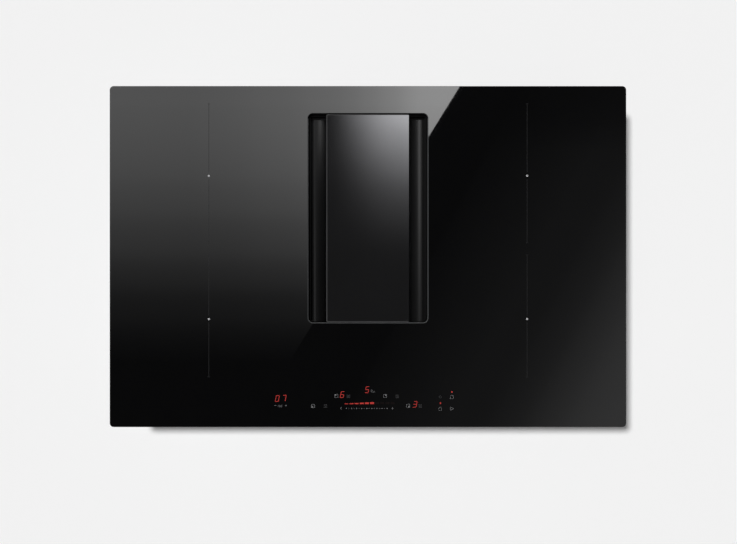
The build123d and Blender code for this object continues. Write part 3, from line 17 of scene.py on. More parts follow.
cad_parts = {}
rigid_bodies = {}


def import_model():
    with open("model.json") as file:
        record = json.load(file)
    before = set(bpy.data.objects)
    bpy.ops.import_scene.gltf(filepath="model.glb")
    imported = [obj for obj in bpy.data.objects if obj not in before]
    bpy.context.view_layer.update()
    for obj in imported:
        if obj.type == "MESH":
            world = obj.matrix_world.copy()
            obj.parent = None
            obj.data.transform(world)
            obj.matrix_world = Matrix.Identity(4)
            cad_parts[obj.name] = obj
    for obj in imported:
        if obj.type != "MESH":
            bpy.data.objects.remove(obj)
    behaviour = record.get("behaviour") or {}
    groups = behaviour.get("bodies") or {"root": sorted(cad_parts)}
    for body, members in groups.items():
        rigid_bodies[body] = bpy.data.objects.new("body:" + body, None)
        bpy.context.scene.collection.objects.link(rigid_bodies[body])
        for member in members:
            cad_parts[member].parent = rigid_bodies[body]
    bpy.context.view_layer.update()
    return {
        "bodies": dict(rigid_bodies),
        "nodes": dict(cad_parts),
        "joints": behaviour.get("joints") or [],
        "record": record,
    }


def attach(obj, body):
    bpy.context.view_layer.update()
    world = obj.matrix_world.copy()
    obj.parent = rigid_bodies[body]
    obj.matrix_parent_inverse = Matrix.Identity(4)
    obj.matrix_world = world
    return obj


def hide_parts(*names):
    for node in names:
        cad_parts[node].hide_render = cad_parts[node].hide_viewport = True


log = logging.getLogger("cooktop")

Colour = tuple[float, float, float]
Point = tuple[float, float, float]
Spot = tuple[float, float]
Socket = bpy.types.NodeSocket
Object = bpy.types.Object
Mesh = bmesh.types.BMesh
Face = bmesh.types.BMFace

CREASE = 0.5  # the least angle of an edge that is rounded, in radians
CORNER = 1.2  # the least angle of a box's edge, in radians
NEAR = 1e-5  # heights closer than this are the same
CHAMFER = (0.3, 0.9)  # a chamfer's normal has a Z between these


# ---- materials ---------------------------------------------------------------------------
class Surface(Enum):
    """The small-scale pattern that a finish carries."""

    GRAIN = "fine even grain"
    BRUSHED = "long hairlines"
    SPANGLE = "zinc crystals"
    CELLS = "closed foam cells"
    STRANDS = "twisted strands"


def grey(level: float) -> tuple[float, float, float, float]:
    """Give a grey level as an opaque colour."""
    return (level, level, level, 1.0)


class Graph:
    """A node tree, with short calls for the nodes that finishes, cards and the sky share."""

    def __init__(self, owner: bpy.types.ID, shader: str = "Principled BSDF", space: str = "Object") -> None:
        """Start a node tree with its usual shader and coordinates.

        Args:
            owner: The material or world that it belongs to.
            shader: The name of its shader node.
            space: The space of its coordinates.
        """
        self.owner = owner
        owner.use_nodes = True
        self.nodes = owner.node_tree.nodes
        self.links = owner.node_tree.links
        self.shader = self.nodes[shader]
        self.place = self.add("TexCoord").outputs[space]

    def fill(self, node: bpy.types.Node, inputs: dict) -> None:
        """Fill or link a node's inputs.

        Args:
            node: The node.
            inputs: Values or output sockets, by input name or number.
        """
        for key, value in inputs.items():
            if isinstance(value, Socket):
                self.links.new(value, node.inputs[key])
            else:
                node.inputs[key].default_value = value

    def add(self, kind: str, inputs: dict | None = None, **settings: object) -> bpy.types.Node:
        """Add a node, set its options and fill or link its inputs.

        Args:
            kind: The node's type name, after ShaderNode.
            inputs: Values or output sockets, by input name or number.
            **settings: The node's own options.

        Returns:
            The new node.
        """
        node = self.nodes.new(f"ShaderNode{kind}")
        for option, value in settings.items():
            setattr(node, option, value)
        self.fill(node, inputs or {})
        return node

    def math(self, operation: str, *values: float | Socket) -> Socket:
        """Give the result of one arithmetic step on numbers or sockets."""
        return self.add("Math", dict(enumerate(values)), operation=operation).outputs[0]

    def mix(self, factor: Socket, first: object, second: object) -> Socket:
        """Give the mix of two colours, the second at a factor of 1."""
        return self.add("Mix", {0: factor, 6: first, 7: second}, data_type="RGBA").outputs[2]

    def texture(self, kind: str, cell: Point, output: str, **inputs: float) -> Socket:
        """Give a texture whose blobs have the size of a cell.

        Args:
            kind: The texture node's type name, after ShaderNodeTex.
            cell: The size of a blob along X, Y and Z, in metres.
            output: The output to read.
            **inputs: Further inputs of the node.

        Returns:
            The pattern.
        """
        scale = tuple(1 / side for side in cell)
        place = self.add("Mapping", {"Vector": self.place, "Scale": scale}).outputs[0]
        return self.add(f"Tex{kind}", {"Vector": place, "Scale": 1.0, **inputs}).outputs[output]

    def spread(self, factor: Socket, low: float, high: float) -> Socket:
        """Map a pattern's middle range, 0.3 to 0.7, to values from low to high."""
        return self.add("MapRange", {"Value": factor, 1: 0.3, 2: 0.7, 3: low, 4: high}).outputs[0]


@dataclass(frozen=True)
class Finish:
    """A finish: its colour, gloss and small-scale pattern."""

    name: str
    colour: Colour
    roughness: float
    surface: Surface = Surface.GRAIN
    cell: Point = (0.0006, 0.0006, 0.0006)
    depth: float = 0.00002
    tone: float = 0.12
    spread: float = 0.05
    metallic: float = 0.0
    ior: float = 1.5
    coat: float = 0.0
    coat_roughness: float = 0.08
    cloud: float = 0.05
    glow: float = 0.0

    def pattern(self, graph: Graph) -> Socket:
        """Build the small-scale pattern of the finish.

        Args:
            graph: The material's node tree.

        Returns:
            The pattern, from 0 to 1.
        """
        if self.surface is Surface.SPANGLE:
            return graph.add("RGBToBW", {0: graph.texture("Voronoi", self.cell, "Color")}).outputs[0]
        if self.surface is Surface.CELLS:
            return graph.texture("Voronoi", self.cell, "Distance")
        if self.surface is Surface.STRANDS:
            wave = graph.texture("Wave", self.cell, "Fac", Distortion=0.6)
            wave.node.bands_direction = "DIAGONAL"
            return wave
        octaves = 5.0 if self.surface is Surface.BRUSHED else 2.0
        return graph.texture("Noise", self.cell, "Fac", Detail=octaves)

    def material(self) -> bpy.types.Material:
        """Build the material once, and give it again on later calls.

        Returns:
            The finish's material.
        """
        known = bpy.data.materials.get(self.name)
        if known:
            return known
        graph = Graph(bpy.data.materials.new(self.name))
        pattern = self.pattern(graph)
        clouds = graph.texture("Noise", (self.cloud,) * 3, "Fac", Detail=3.0)
        blend = graph.math("MULTIPLY", graph.math("ADD", pattern, clouds), 0.5)
        dark, light = ((*(min(1.0, c * tone) for c in self.colour), 1.0) for tone in (1 - self.tone, 1 + self.tone))
        colour = graph.mix(graph.spread(blend, 0.0, 1.0), dark, light)
        low, high = max(0.0, self.roughness - self.spread), self.roughness + self.spread
        bump = graph.add("Bump", {"Height": pattern, "Distance": self.depth, "Strength": 1.0})
        graph.fill(graph.shader, {
            "Metallic": self.metallic, "IOR": self.ior, "Coat Weight": self.coat,
            "Coat Roughness": self.coat_roughness, "Base Color": colour,
            "Roughness": graph.spread(blend, low, high), "Normal": bump.outputs[0],
        })
        if self.glow:
            graph.fill(graph.shader, {"Emission Color": colour, "Emission Strength": self.glow})
        return graph.owner


def metal(name: str, colour: Colour, roughness: float, **more: object) -> Finish:
    """Give a bare metal finish with hairlines along Y.

    Args:
        name: The finish's name.
        colour: The metal's colour.
        roughness: Its roughness.
        **more: Other fields of the finish.

    Returns:
        The finish.
    """
    fields = {"surface": Surface.BRUSHED, "cell": (0.0002, 0.012, 0.0002), "depth": 0.000006}
    return Finish(name, colour, roughness, metallic=1.0, **{**fields, **more})


def moulding(name: str, level: float, roughness: float = 0.42, **more: object) -> Finish:
    """Give a grey plastic with a spark-eroded texture, its level from 0 to 1."""
    return Finish(name, (level, level, level * 1.04), roughness, **more)


def print_ink(name: str, level: float, blue: float) -> Finish:
    """Give a grey print's finish from its level and the level of its blue."""
    return Finish(name, (level, level, blue), 0.6, cell=(0.0002,) * 3, depth=0.0)


GLASS = Finish("black_ceramic_glass", (0.0016, 0.0016, 0.0018), 0.015, cell=(0.004,) * 3, depth=0.0, spread=0.008)
# Lighter finish of the opening's left, right and front bevels: partly the grey left by grinding, partly a painted
# highlight.
GROUND_EDGE_AND_HIGHLIGHT = Finish("ground_edge_and_highlight", (0.068, 0.07, 0.072), 0.5, cell=(0.0004,) * 3, depth=0.000004)
INK = print_ink("printed_grey", 0.02, 0.021)
PALE_INK = print_ink("printed_pale", 0.36, 0.37)
ICON_INK = print_ink("printed_icon", 0.15, 0.155)
DIM_INK = print_ink("printed_dim", 0.055, 0.057)
RED_LIGHT = Finish("lit_segment", (0.32, 0.028, 0.024), 0.5, cell=(0.0004,) * 3, depth=0.0, glow=0.34)
RED_DIM = Finish("unlit_segment", (0.0036, 0.0018, 0.0018), 0.5, cell=(0.0004,) * 3, depth=0.0)
LENS = Finish("red_lens", (0.16, 0.012, 0.01), 0.25, cell=(0.0008,) * 3)
PANEL = metal(
    "brushed_black_panel", (0.075, 0.075, 0.078), 0.085,
    cell=(0.00018, 0.02, 0.001), depth=0.000001, spread=0.02, tone=0.1, cloud=0.12,
)
# Lighter finish for the panel's left, front and rear chamfers: a painted highlight.
PANEL_EDGE_HIGHLIGHT = Finish("panel_edge_painted_highlight", (0.11, 0.11, 0.112), 0.4, cell=(0.0004,) * 3, depth=0.000001)
GUIDE = moulding("half_gloss_black", 0.0028, 0.5, depth=0.000003, spread=0.03, ior=1.25, coat=0.5)
GUIDE_FLAT = moulding("matt_black_moulding", 0.0026, 0.6, depth=0.000004, ior=1.15)
COLLAR = moulding("satin_black", 0.004, 0.4)
FOAM = Finish("foam_strip", (0.012, 0.012, 0.012), 0.85, Surface.CELLS, (0.0007,) * 3, 0.0002)
RUBBER = moulding("soft_black_rubber", 0.02, 0.7, cell=(0.0003,) * 3)
ZINC_SHEET = Finish(
    "zinc_coated_sheet", (0.56, 0.57, 0.58), 0.36, Surface.SPANGLE, (0.009,) * 3, 0.000004,
    tone=0.09, spread=0.07, metallic=1.0,
)
BRIGHT_ZINC = metal("bright_zinc_screw", (0.68, 0.68, 0.66), 0.26, cell=(0.0004,) * 3)
COPPER = Finish(
    "enamelled_strands", (0.6, 0.24, 0.1), 0.34, Surface.STRANDS, (0.0016,) * 3, 0.00014, tone=0.25, metallic=0.85,
)
FORMER = moulding("coil_former", 0.06, 0.55)
FERRITE = Finish("sintered_ferrite", (0.05, 0.05, 0.054), 0.62, cell=(0.0008,) * 3, depth=0.00005)
MICA = Finish("pressed_mica", (0.55, 0.49, 0.37), 0.5, Surface.CELLS, (0.004, 0.007, 0.004), 0.00005, tone=0.18)
ALUMINIUM = metal("mill_aluminium", (0.72, 0.73, 0.74), 0.38, cell=(0.0003, 0.02, 0.0003))
NYLON = moulding("natural_nylon", 0.68, 0.45, cloud=0.02)
SILICONE = moulding("grey_silicone", 0.5, 0.6)
BOARD = Finish("circuit_laminate", (0.02, 0.14, 0.06), 0.36, Surface.STRANDS, (0.0012,) * 3, 0.00002, tone=0.2)
SLEEVE = Finish("capacitor_sleeve", (0.03, 0.035, 0.12), 0.3, cell=(0.0008,) * 3)
CORE = Finish("coated_ring_core", (0.1, 0.22, 0.12), 0.4)
FAN_PLASTIC = moulding("fan_black", 0.02, 0.45)
TRAY = moulding("dark_grey_moulding", 0.045, 0.45)
SPRING = metal("plated_spring", (0.72, 0.66, 0.5), 0.3, cell=(0.0004,) * 3)
HOUSING = moulding("housing_black", 0.035, 0.46, cell=(0.0009,) * 3, depth=0.00006, tone=0.16)
STEEL = metal("motor_steel", (0.5, 0.5, 0.51), 0.34, cell=(0.0004,) * 3)
LAMINATION = metal("core_laminations", (0.34, 0.34, 0.35), 0.5, cell=(0.01, 0.01, 0.0005), depth=0.00003)
IMPELLER = moulding("glass_filled_nylon", 0.5, 0.5, cell=(0.0009, 0.0009, 0.004))
CARBON = Finish("activated_carbon", (0.012, 0.012, 0.012), 0.8, Surface.CELLS, (0.0012,) * 3, 0.0002)
ANODISED = metal("anodised_aluminium", (0.62, 0.63, 0.64), 0.34, cell=(0.0003, 0.004, 0.0003))
FILM = Finish("cast_ochre_resin", (0.55, 0.33, 0.06), 0.35, cell=(0.001,) * 3)
CHIP = moulding("moulded_epoxy", 0.018, 0.5, cell=(0.0003,) * 3)
IVORY = moulding("ivory_nylon", 0.62, 0.42, cloud=0.02)
MAGNET_WIRE = Finish("enamelled_wire", (0.6, 0.24, 0.1), 0.3, cell=(0.001,) * 3, metallic=0.35)
FOIL = metal("drawn_aluminium", (0.75, 0.76, 0.77), 0.32, cell=(0.0004,) * 3)
WIRE = metal("stainless_wire", (0.66, 0.66, 0.66), 0.2, cell=(0.0003,) * 3)


# ---- mesh tools ----------------------------------------------------------------------------
def bevel(bm: Mesh, edges: list, width: float, segments: int = 3, affect: str = "EDGES") -> None:
    """Round edges or corners.

    Args:
        bm: The mesh.
        edges: The edges or vertices to round.
        width: The bevel's width.
        segments: The number of faces across it.
        affect: EDGES or VERTICES.
    """
    bmesh.ops.bevel(
        bm, geom=edges, offset=width, offset_type="OFFSET", segments=segments,
        profile=0.5, affect=affect, clamp_overlap=True, material=-1,
    )


def rectangle(
    bm: Mesh, centre: Spot, size: Spot, z: float, corner: float = 0.0, segments: int = 4, turn: float = 0.0,
) -> Face:
    """Add a flat face, with round corners where asked.

    Args:
        bm: The mesh.
        centre: The face's centre in X and Y.
        size: Its width and depth.
        z: Its height.
        corner: The radius of its corners.
        segments: The number of edges in a corner.
        turn: The angle by which it is turned about its centre, in radians.

    Returns:
        The face.
    """
    before = set(bm.faces)
    corners = bmesh.ops.create_grid(bm, x_segments=1, y_segments=1, size=0.5)["verts"]
    place = Matrix.Translation((*centre, z)) @ Matrix.Rotation(turn, 4, "Z")
    bmesh.ops.transform(bm, matrix=place @ Matrix.Diagonal((*size, 1.0, 1.0)), verts=corners)
    if corner:
        bevel(bm, corners, corner, segments, "VERTICES")
    return next(face for face in bm.faces if face not in before)


def disc(bm: Mesh, centre: Spot, radius: float, z: float, segments: int) -> Face:
    """Add a flat round face.

    Args:
        bm: The mesh.
        centre: The disc's centre in X and Y.
        radius: Its radius.
        z: Its height.
        segments: The number of its corners.

    Returns:
        The face.
    """
    place = Matrix.Translation((*centre, z))
    verts = bmesh.ops.create_circle(bm, cap_ends=True, segments=segments, radius=radius, matrix=place)["verts"]
    return verts[0].link_faces[0]


def lift(bm: Mesh, faces: list, rise: float) -> None:
    """Extrude flat faces upwards into a solid."""
    made = bmesh.ops.extrude_face_region(bm, geom=faces)["geom"]
    bmesh.ops.translate(bm, vec=(0.0, 0.0, rise), verts=[v for v in made if isinstance(v, bmesh.types.BMVert)])


def tube(bm: Mesh, outer: Face, inner: Face, rise: float) -> None:
    """Extrude the ring between two flat outlines.

    Args:
        bm: The mesh.
        outer: The outer outline.
        inner: The inner outline, with as many corners.
        rise: The tube's height.
    """
    edges = list(outer.edges) + list(inner.edges)
    bmesh.ops.delete(bm, geom=[outer, inner], context="FACES_ONLY")
    lift(bm, bmesh.ops.bridge_loops(bm, edges=edges)["faces"], rise)


def box(
    bm: Mesh, centre: Spot, size: Spot, z: Spot, corner: float = 0.0, segments: int = 4, turn: float = 0.0,
) -> None:
    """Add a box between two heights, its outline that of a rectangle with the same arguments."""
    lift(bm, [rectangle(bm, centre, size, z[0], corner, segments, turn)], z[1] - z[0])


def post(bm: Mesh, centre: Spot, radius: float, z: Spot, segments: int = 32) -> None:
    """Add an upright cylinder between two heights."""
    lift(bm, [disc(bm, centre, radius, z[0], segments)], z[1] - z[0])


def sharp_edges(bm: Mesh, angle: float = CREASE) -> list:
    """Find the edges at which two faces meet at more than an angle in radians."""
    return [e for e in bm.edges if len(e.link_faces) == 2 and e.calc_face_angle(0.0) > angle]


def level_edges(bm: Mesh, z: float, upper: bool = True, angle: float = CORNER) -> list:
    """Find the sharp edges at the height of a mesh's top, or of its foot."""
    way = 1 if upper else -1
    return [e for e in sharp_edges(bm, angle) if all(way * (v.co.z - z) > -NEAR for v in e.verts)]


def path(bm: Mesh, spots: list, width: float, z: Spot) -> None:
    """Print strokes with round ends from spot to spot.

    Args:
        bm: The mesh.
        spots: The spots in order.
        width: The strokes' width.
        z: The heights of their underside and top.
    """
    round_end = 0.42 * width
    for (x0, y0), (x1, y1) in zip(spots, spots[1:]):
        dx, dy = x1 - x0, y1 - y0
        size = (hypot(dx, dy) + width, width)
        box(bm, ((x0 + x1) / 2, (y0 + y1) / 2), size, z, round_end, 3, atan2(dy, dx))


def arc(centre: Spot, radius: float, start: float, end: float, count: int) -> list[Spot]:
    """Give the spots that divide an arc, from a start to an end in degrees, into equal steps."""
    angles = [radians(start + (end - start) * step / count) for step in range(count + 1)]
    return [(centre[0] + radius * cos(a), centre[1] + radius * sin(a)) for a in angles]


def wound(
    bm: Mesh, place: Matrix, radius: float, wire: float, steps: int, sides: int, turns: int = 1, rise: float = 0.0,
) -> None:
    """Bend a round wire about the Z axis of a place, into a closed loop or a rising spring.

    Args:
        bm: The mesh.
        place: The place.
        radius: The radius of a turn.
        wire: The wire's radius.
        steps: The number of pieces along the whole wire.
        sides: The number of faces around it.
        turns: The number of turns.
        rise: The spring's height, or 0 for a loop.
    """
    before = set(bm.verts)
    upright = Matrix.Translation((radius, 0.0, 0.0)) @ Matrix.Rotation(pi / 2, 4, "X")
    start = bmesh.ops.create_circle(bm, cap_ends=rise > 0, segments=sides, radius=wire, matrix=upright)["verts"]
    edges = {edge for vert in start for edge in vert.link_edges}
    bmesh.ops.spin(
        bm, geom=start[0].link_faces[:] if rise else [*start, *edges], axis=(0, 0, 1), cent=(0, 0, 0),
        dvec=(0, 0, rise / steps), angle=2 * pi * turns, steps=steps, use_merge=not rise,
    )
    bmesh.ops.transform(bm, matrix=place, verts=[vert for vert in bm.verts if vert not in before])


def islands(bm: Mesh) -> list[list[Face]]:
    """Split a mesh into its connected parts.

    Args:
        bm: The mesh.

    Returns:
        The faces of each part.
    """
    parts = []
    seen = set()
    for first in bm.faces:
        if first in seen:
            continue
        part, queue = [], [first]
        seen.add(first)
        while queue:
            face = queue.pop()
            part.append(face)
            near = {other for edge in face.edges for other in edge.link_faces} - seen
            seen |= near
            queue.extend(near)
        parts.append(part)
    return parts


def cross_recess(bm: Mesh, head: Face, depth: float) -> None:
    """Sink a cross recess into the round end face of a screw.

    Args:
        bm: The mesh.
        head: The end face.
        depth: The recess's depth.
    """
    rim, waist, arm, draft = 0.38, 0.4, 0.3, 0.03
    centre = head.calc_center_median()
    inwards = -head.normal.copy()
    radius = (head.verts[0].co - centre).length
    bmesh.ops.inset_individual(bm, faces=[head], thickness=radius * rim)
    count = len(head.verts)
    for index, vert in enumerate(head.verts):
        aside = abs((index * 4 / count) % 1.0 - 0.5)
        vert.co = centre + (vert.co - centre) * (1.0 if aside > arm else waist)
    bmesh.ops.inset_individual(bm, faces=[head], thickness=radius * draft)
    bmesh.ops.translate(bm, vec=inwards * depth, verts=head.verts[:])


class Workshop:
    """Makes named pieces from meshes and hangs them on the frame."""

    head_corners = 12  # a face with as many corners ends a screw

    def __init__(self, frame: dict) -> None:
        """Read the bodies and slots of the CAD nodes from the frame.

        Args:
            frame: What the frame's loader returns.
        """
        record = frame["record"]
        groups = record["behaviour"]["bodies"].items()
        self.nodes = frame["nodes"]
        self.bodies = {node: body for body, members in groups for node in members}
        self.slots = {part["node"]: part["material_slot"] for part in record["subparts"]}

    def piece(self, bm: Mesh, name: str, like: str, finish: Finish, *replaces: str, smooth: float = 40.0) -> Object:
        """Turn a mesh into a piece that rides where a CAD node rides.

        Args:
            bm: The mesh, which is freed.
            name: The piece's name.
            like: The CAD node whose body it takes.
            finish: Its finish.
            *replaces: The CAD nodes that it stands for.
            smooth: The angle in degrees up to which edges are shaded smooth.

        Returns:
            The piece.
        """
        mesh = bpy.data.meshes.new(name)
        bm.to_mesh(mesh)
        bm.free()
        mesh.materials.append(finish.material())
        mesh.shade_smooth()
        mesh.set_sharp_from_angle(angle=radians(smooth))
        obj = bpy.data.objects.new(name, mesh)
        bpy.context.scene.collection.objects.link(obj)
        weighted = obj.modifiers.new("flat_faces", "WEIGHTED_NORMAL")
        weighted.keep_sharp = True
        weighted.weight = 90
        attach(obj, self.bodies[like])
        if replaces:
            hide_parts(*replaces)
        log.info("%s: %d faces, %s", name, len(mesh.polygons), finish.name)
        return obj

    def own(self, bm: Mesh, name: str, like: str, finish: Finish, *replaces: str) -> Object:
        """Point the faces of a mesh outwards and turn it into a piece."""
        bmesh.ops.recalc_face_normals(bm, faces=bm.faces[:])
        return self.piece(bm, name, like, finish, *replaces)

    def renew(
        self, node: str, finish: Finish, width: float = 0.0004, segments: int = 2, recess: float = 0.0,
    ) -> Object:
        """Replace a CAD node with its own shape: merged, its flat faces whole and its edges rounded.

        Args:
            node: The node's name.
            finish: The piece's finish.
            width: The width of the rounding.
            segments: The number of faces across it.
            recess: For screws, the depth of the cross recess in each head.

        Returns:
            The piece.
        """
        bm = bmesh.new()
        bm.from_mesh(self.nodes[node].data)
        bmesh.ops.remove_doubles(bm, verts=bm.verts[:], dist=1e-6)
        bmesh.ops.dissolve_limit(bm, angle_limit=radians(0.5), verts=bm.verts[:], edges=bm.edges[:])
        bevel(bm, sharp_edges(bm), width, segments)
        for part in islands(bm) if recess else ():
            ends = [face for face in part if len(face.verts) >= self.head_corners]
            if ends:
                cross_recess(bm, max(ends, key=lambda face: face.calc_area()), recess)
        return self.piece(bm, f"{node}_rounded", node, finish, node)

    def dress(self, finish: Finish, *names: str) -> None:
        """Give CAD nodes whose shape is right a finish.

        Args:
            finish: The finish.
            *names: The nodes.
        """
        for name in names:
            data = self.nodes[name].data
            data.materials.clear()
            data.materials.append(finish.material())
            log.info("%s: CAD shape, %s", name, finish.name)


# ---- sub-assemblies ------------------------------------------------------------------------
@dataclass
class Assembly:
    """A sub-assembly, with the CAD nodes that it renews and those that it only dresses."""

    shop: Workshop
    renewed: tuple = ()
    dressed: tuple = ()

    def build(self) -> None:
        """Renew and dress the assembly's nodes."""
        for row in self.renewed:
            self.shop.renew(*row)
        for row in self.dressed:
            self.shop.dress(*row)


@dataclass
class GlassPlate(Assembly):
    """The glass with its bevelled edges, the marks printed on it and the foam strip under it."""

    renewed: tuple = (("worktop_gasket", FOAM, 0.0006, 3),)
    size: Spot = (0.780, 0.515)
    corner: float = 0.006
    opening: Spot = (0.180, 0.315)
    opening_centre: Spot = (0.0, 0.058)
    opening_corner: float = 0.007
    under: float = 0.002
    top: float = 0.00596
    print_top: float = 0.006
    print_sink: float = 0.00001
    edge: float = 0.0005
    foot_edge: float = 0.00015
    opening_edge: float = 0.0013
    rim: Spot = (0.180, 0.25235)
    mark_x: float = 0.2403
    mark_width: float = 0.00055
    mark_spans: tuple = ((0.0206, 0.1165), (0.1273, 0.2307), (-0.1819, -0.0997), (-0.0889, 0.0025))
    tick: float = 0.0030
    tick_rows: tuple = (0.2307, 0.0206, 0.0025, -0.1819)
    dot_rows: Spot = (0.1219, -0.0943)
    dot_radius: float = 0.0016

    def at_rim(self, spot: Vector) -> bool:
        """Say whether a spot lies at the glass's outer rim."""
        return abs(spot.x) > self.rim[0] or abs(spot.y) > self.rim[1]

    def plate(self) -> None:
        """Build the glass: a ring of one thickness with bevelled upper edges, the opening's left, right and front
        bevels lighter, partly the grey left by grinding and partly a painted highlight.
        """
        bm = bmesh.new()
        outer = rectangle(bm, (0.0, 0.0), self.size, self.under, self.corner, 8)
        inner = rectangle(bm, self.opening_centre, self.opening, self.under, self.opening_corner, 8)
        tube(bm, outer, inner, self.top - self.under)
        crest = level_edges(bm, self.top, angle=CREASE)
        bevel(bm, [edge for edge in crest if self.at_rim(edge.verts[0].co)], self.edge, 4)
        bevel(bm, level_edges(bm, self.top), self.opening_edge, 1)
        bmesh.ops.recalc_face_normals(bm, faces=bm.faces[:])
        # The opening's bevels, except the rear one, take the lighter finish: partly the grey left by grinding, partly
        # a painted highlight where light falls on them.
        rear = self.opening_centre[1] + self.opening[1] / 2 - self.opening_corner
        for face in bm.faces:
            spot = face.calc_center_median()
            ground_and_highlit = CHAMFER[0] < face.normal.z < CHAMFER[1] and spot.y < rear and not self.at_rim(spot)
            face.material_index = int(ground_and_highlit)
        bevel(bm, level_edges(bm, self.under, upper=False), self.foot_edge, 2)
        bmesh.ops.recalc_face_normals(bm, faces=bm.faces[:])
        plate = self.shop.piece(bm, "glass_plate", "glass_top", GLASS, "glass_top", smooth=20.0)
        plate.data.materials.append(GROUND_EDGE_AND_HIGHLIGHT.material())

    def marks(self) -> None:
        """Print the axis and the centre dot of each cooking zone."""
        z = (self.top - self.print_sink, self.print_top)
        lines = bmesh.new()
        dots = bmesh.new()
        for x in (-self.mark_x, self.mark_x):
            for low, high in self.mark_spans:
                path(lines, [(x, low), (x, high)], self.mark_width, z)
            for y in self.tick_rows:
                path(lines, [(x - self.tick / 2, y), (x + self.tick / 2, y)], self.mark_width, z)
            for y in self.dot_rows:
                post(dots, (x, y), self.dot_radius, z)
        self.shop.own(lines, "zone_axes", "glass_top", INK)
        self.shop.own(dots, "zone_dots", "glass_top", PALE_INK)

    def build(self) -> None:
        """Build the glass and its marks, and renew the foam strip."""
        self.plate()
        self.marks()
        super().build()


class Segment(Enum):
    """The bars of a seven-segment figure, as ends on a grid one wide and two high."""

    A = ((0, 2), (1, 2))
    B = ((1, 1), (1, 2))
    C = ((1, 0), (1, 1))
    D = ((0, 0), (1, 0))
    E = ((0, 0), (0, 1))
    F = ((0, 1), (0, 2))
    G = ((0, 1), (1, 1))


FIGURES = {"0": "ABCDEF", "3": "ABCDG", "5": "ACDFG", "6": "ACDEFG", "7": "ABC"}


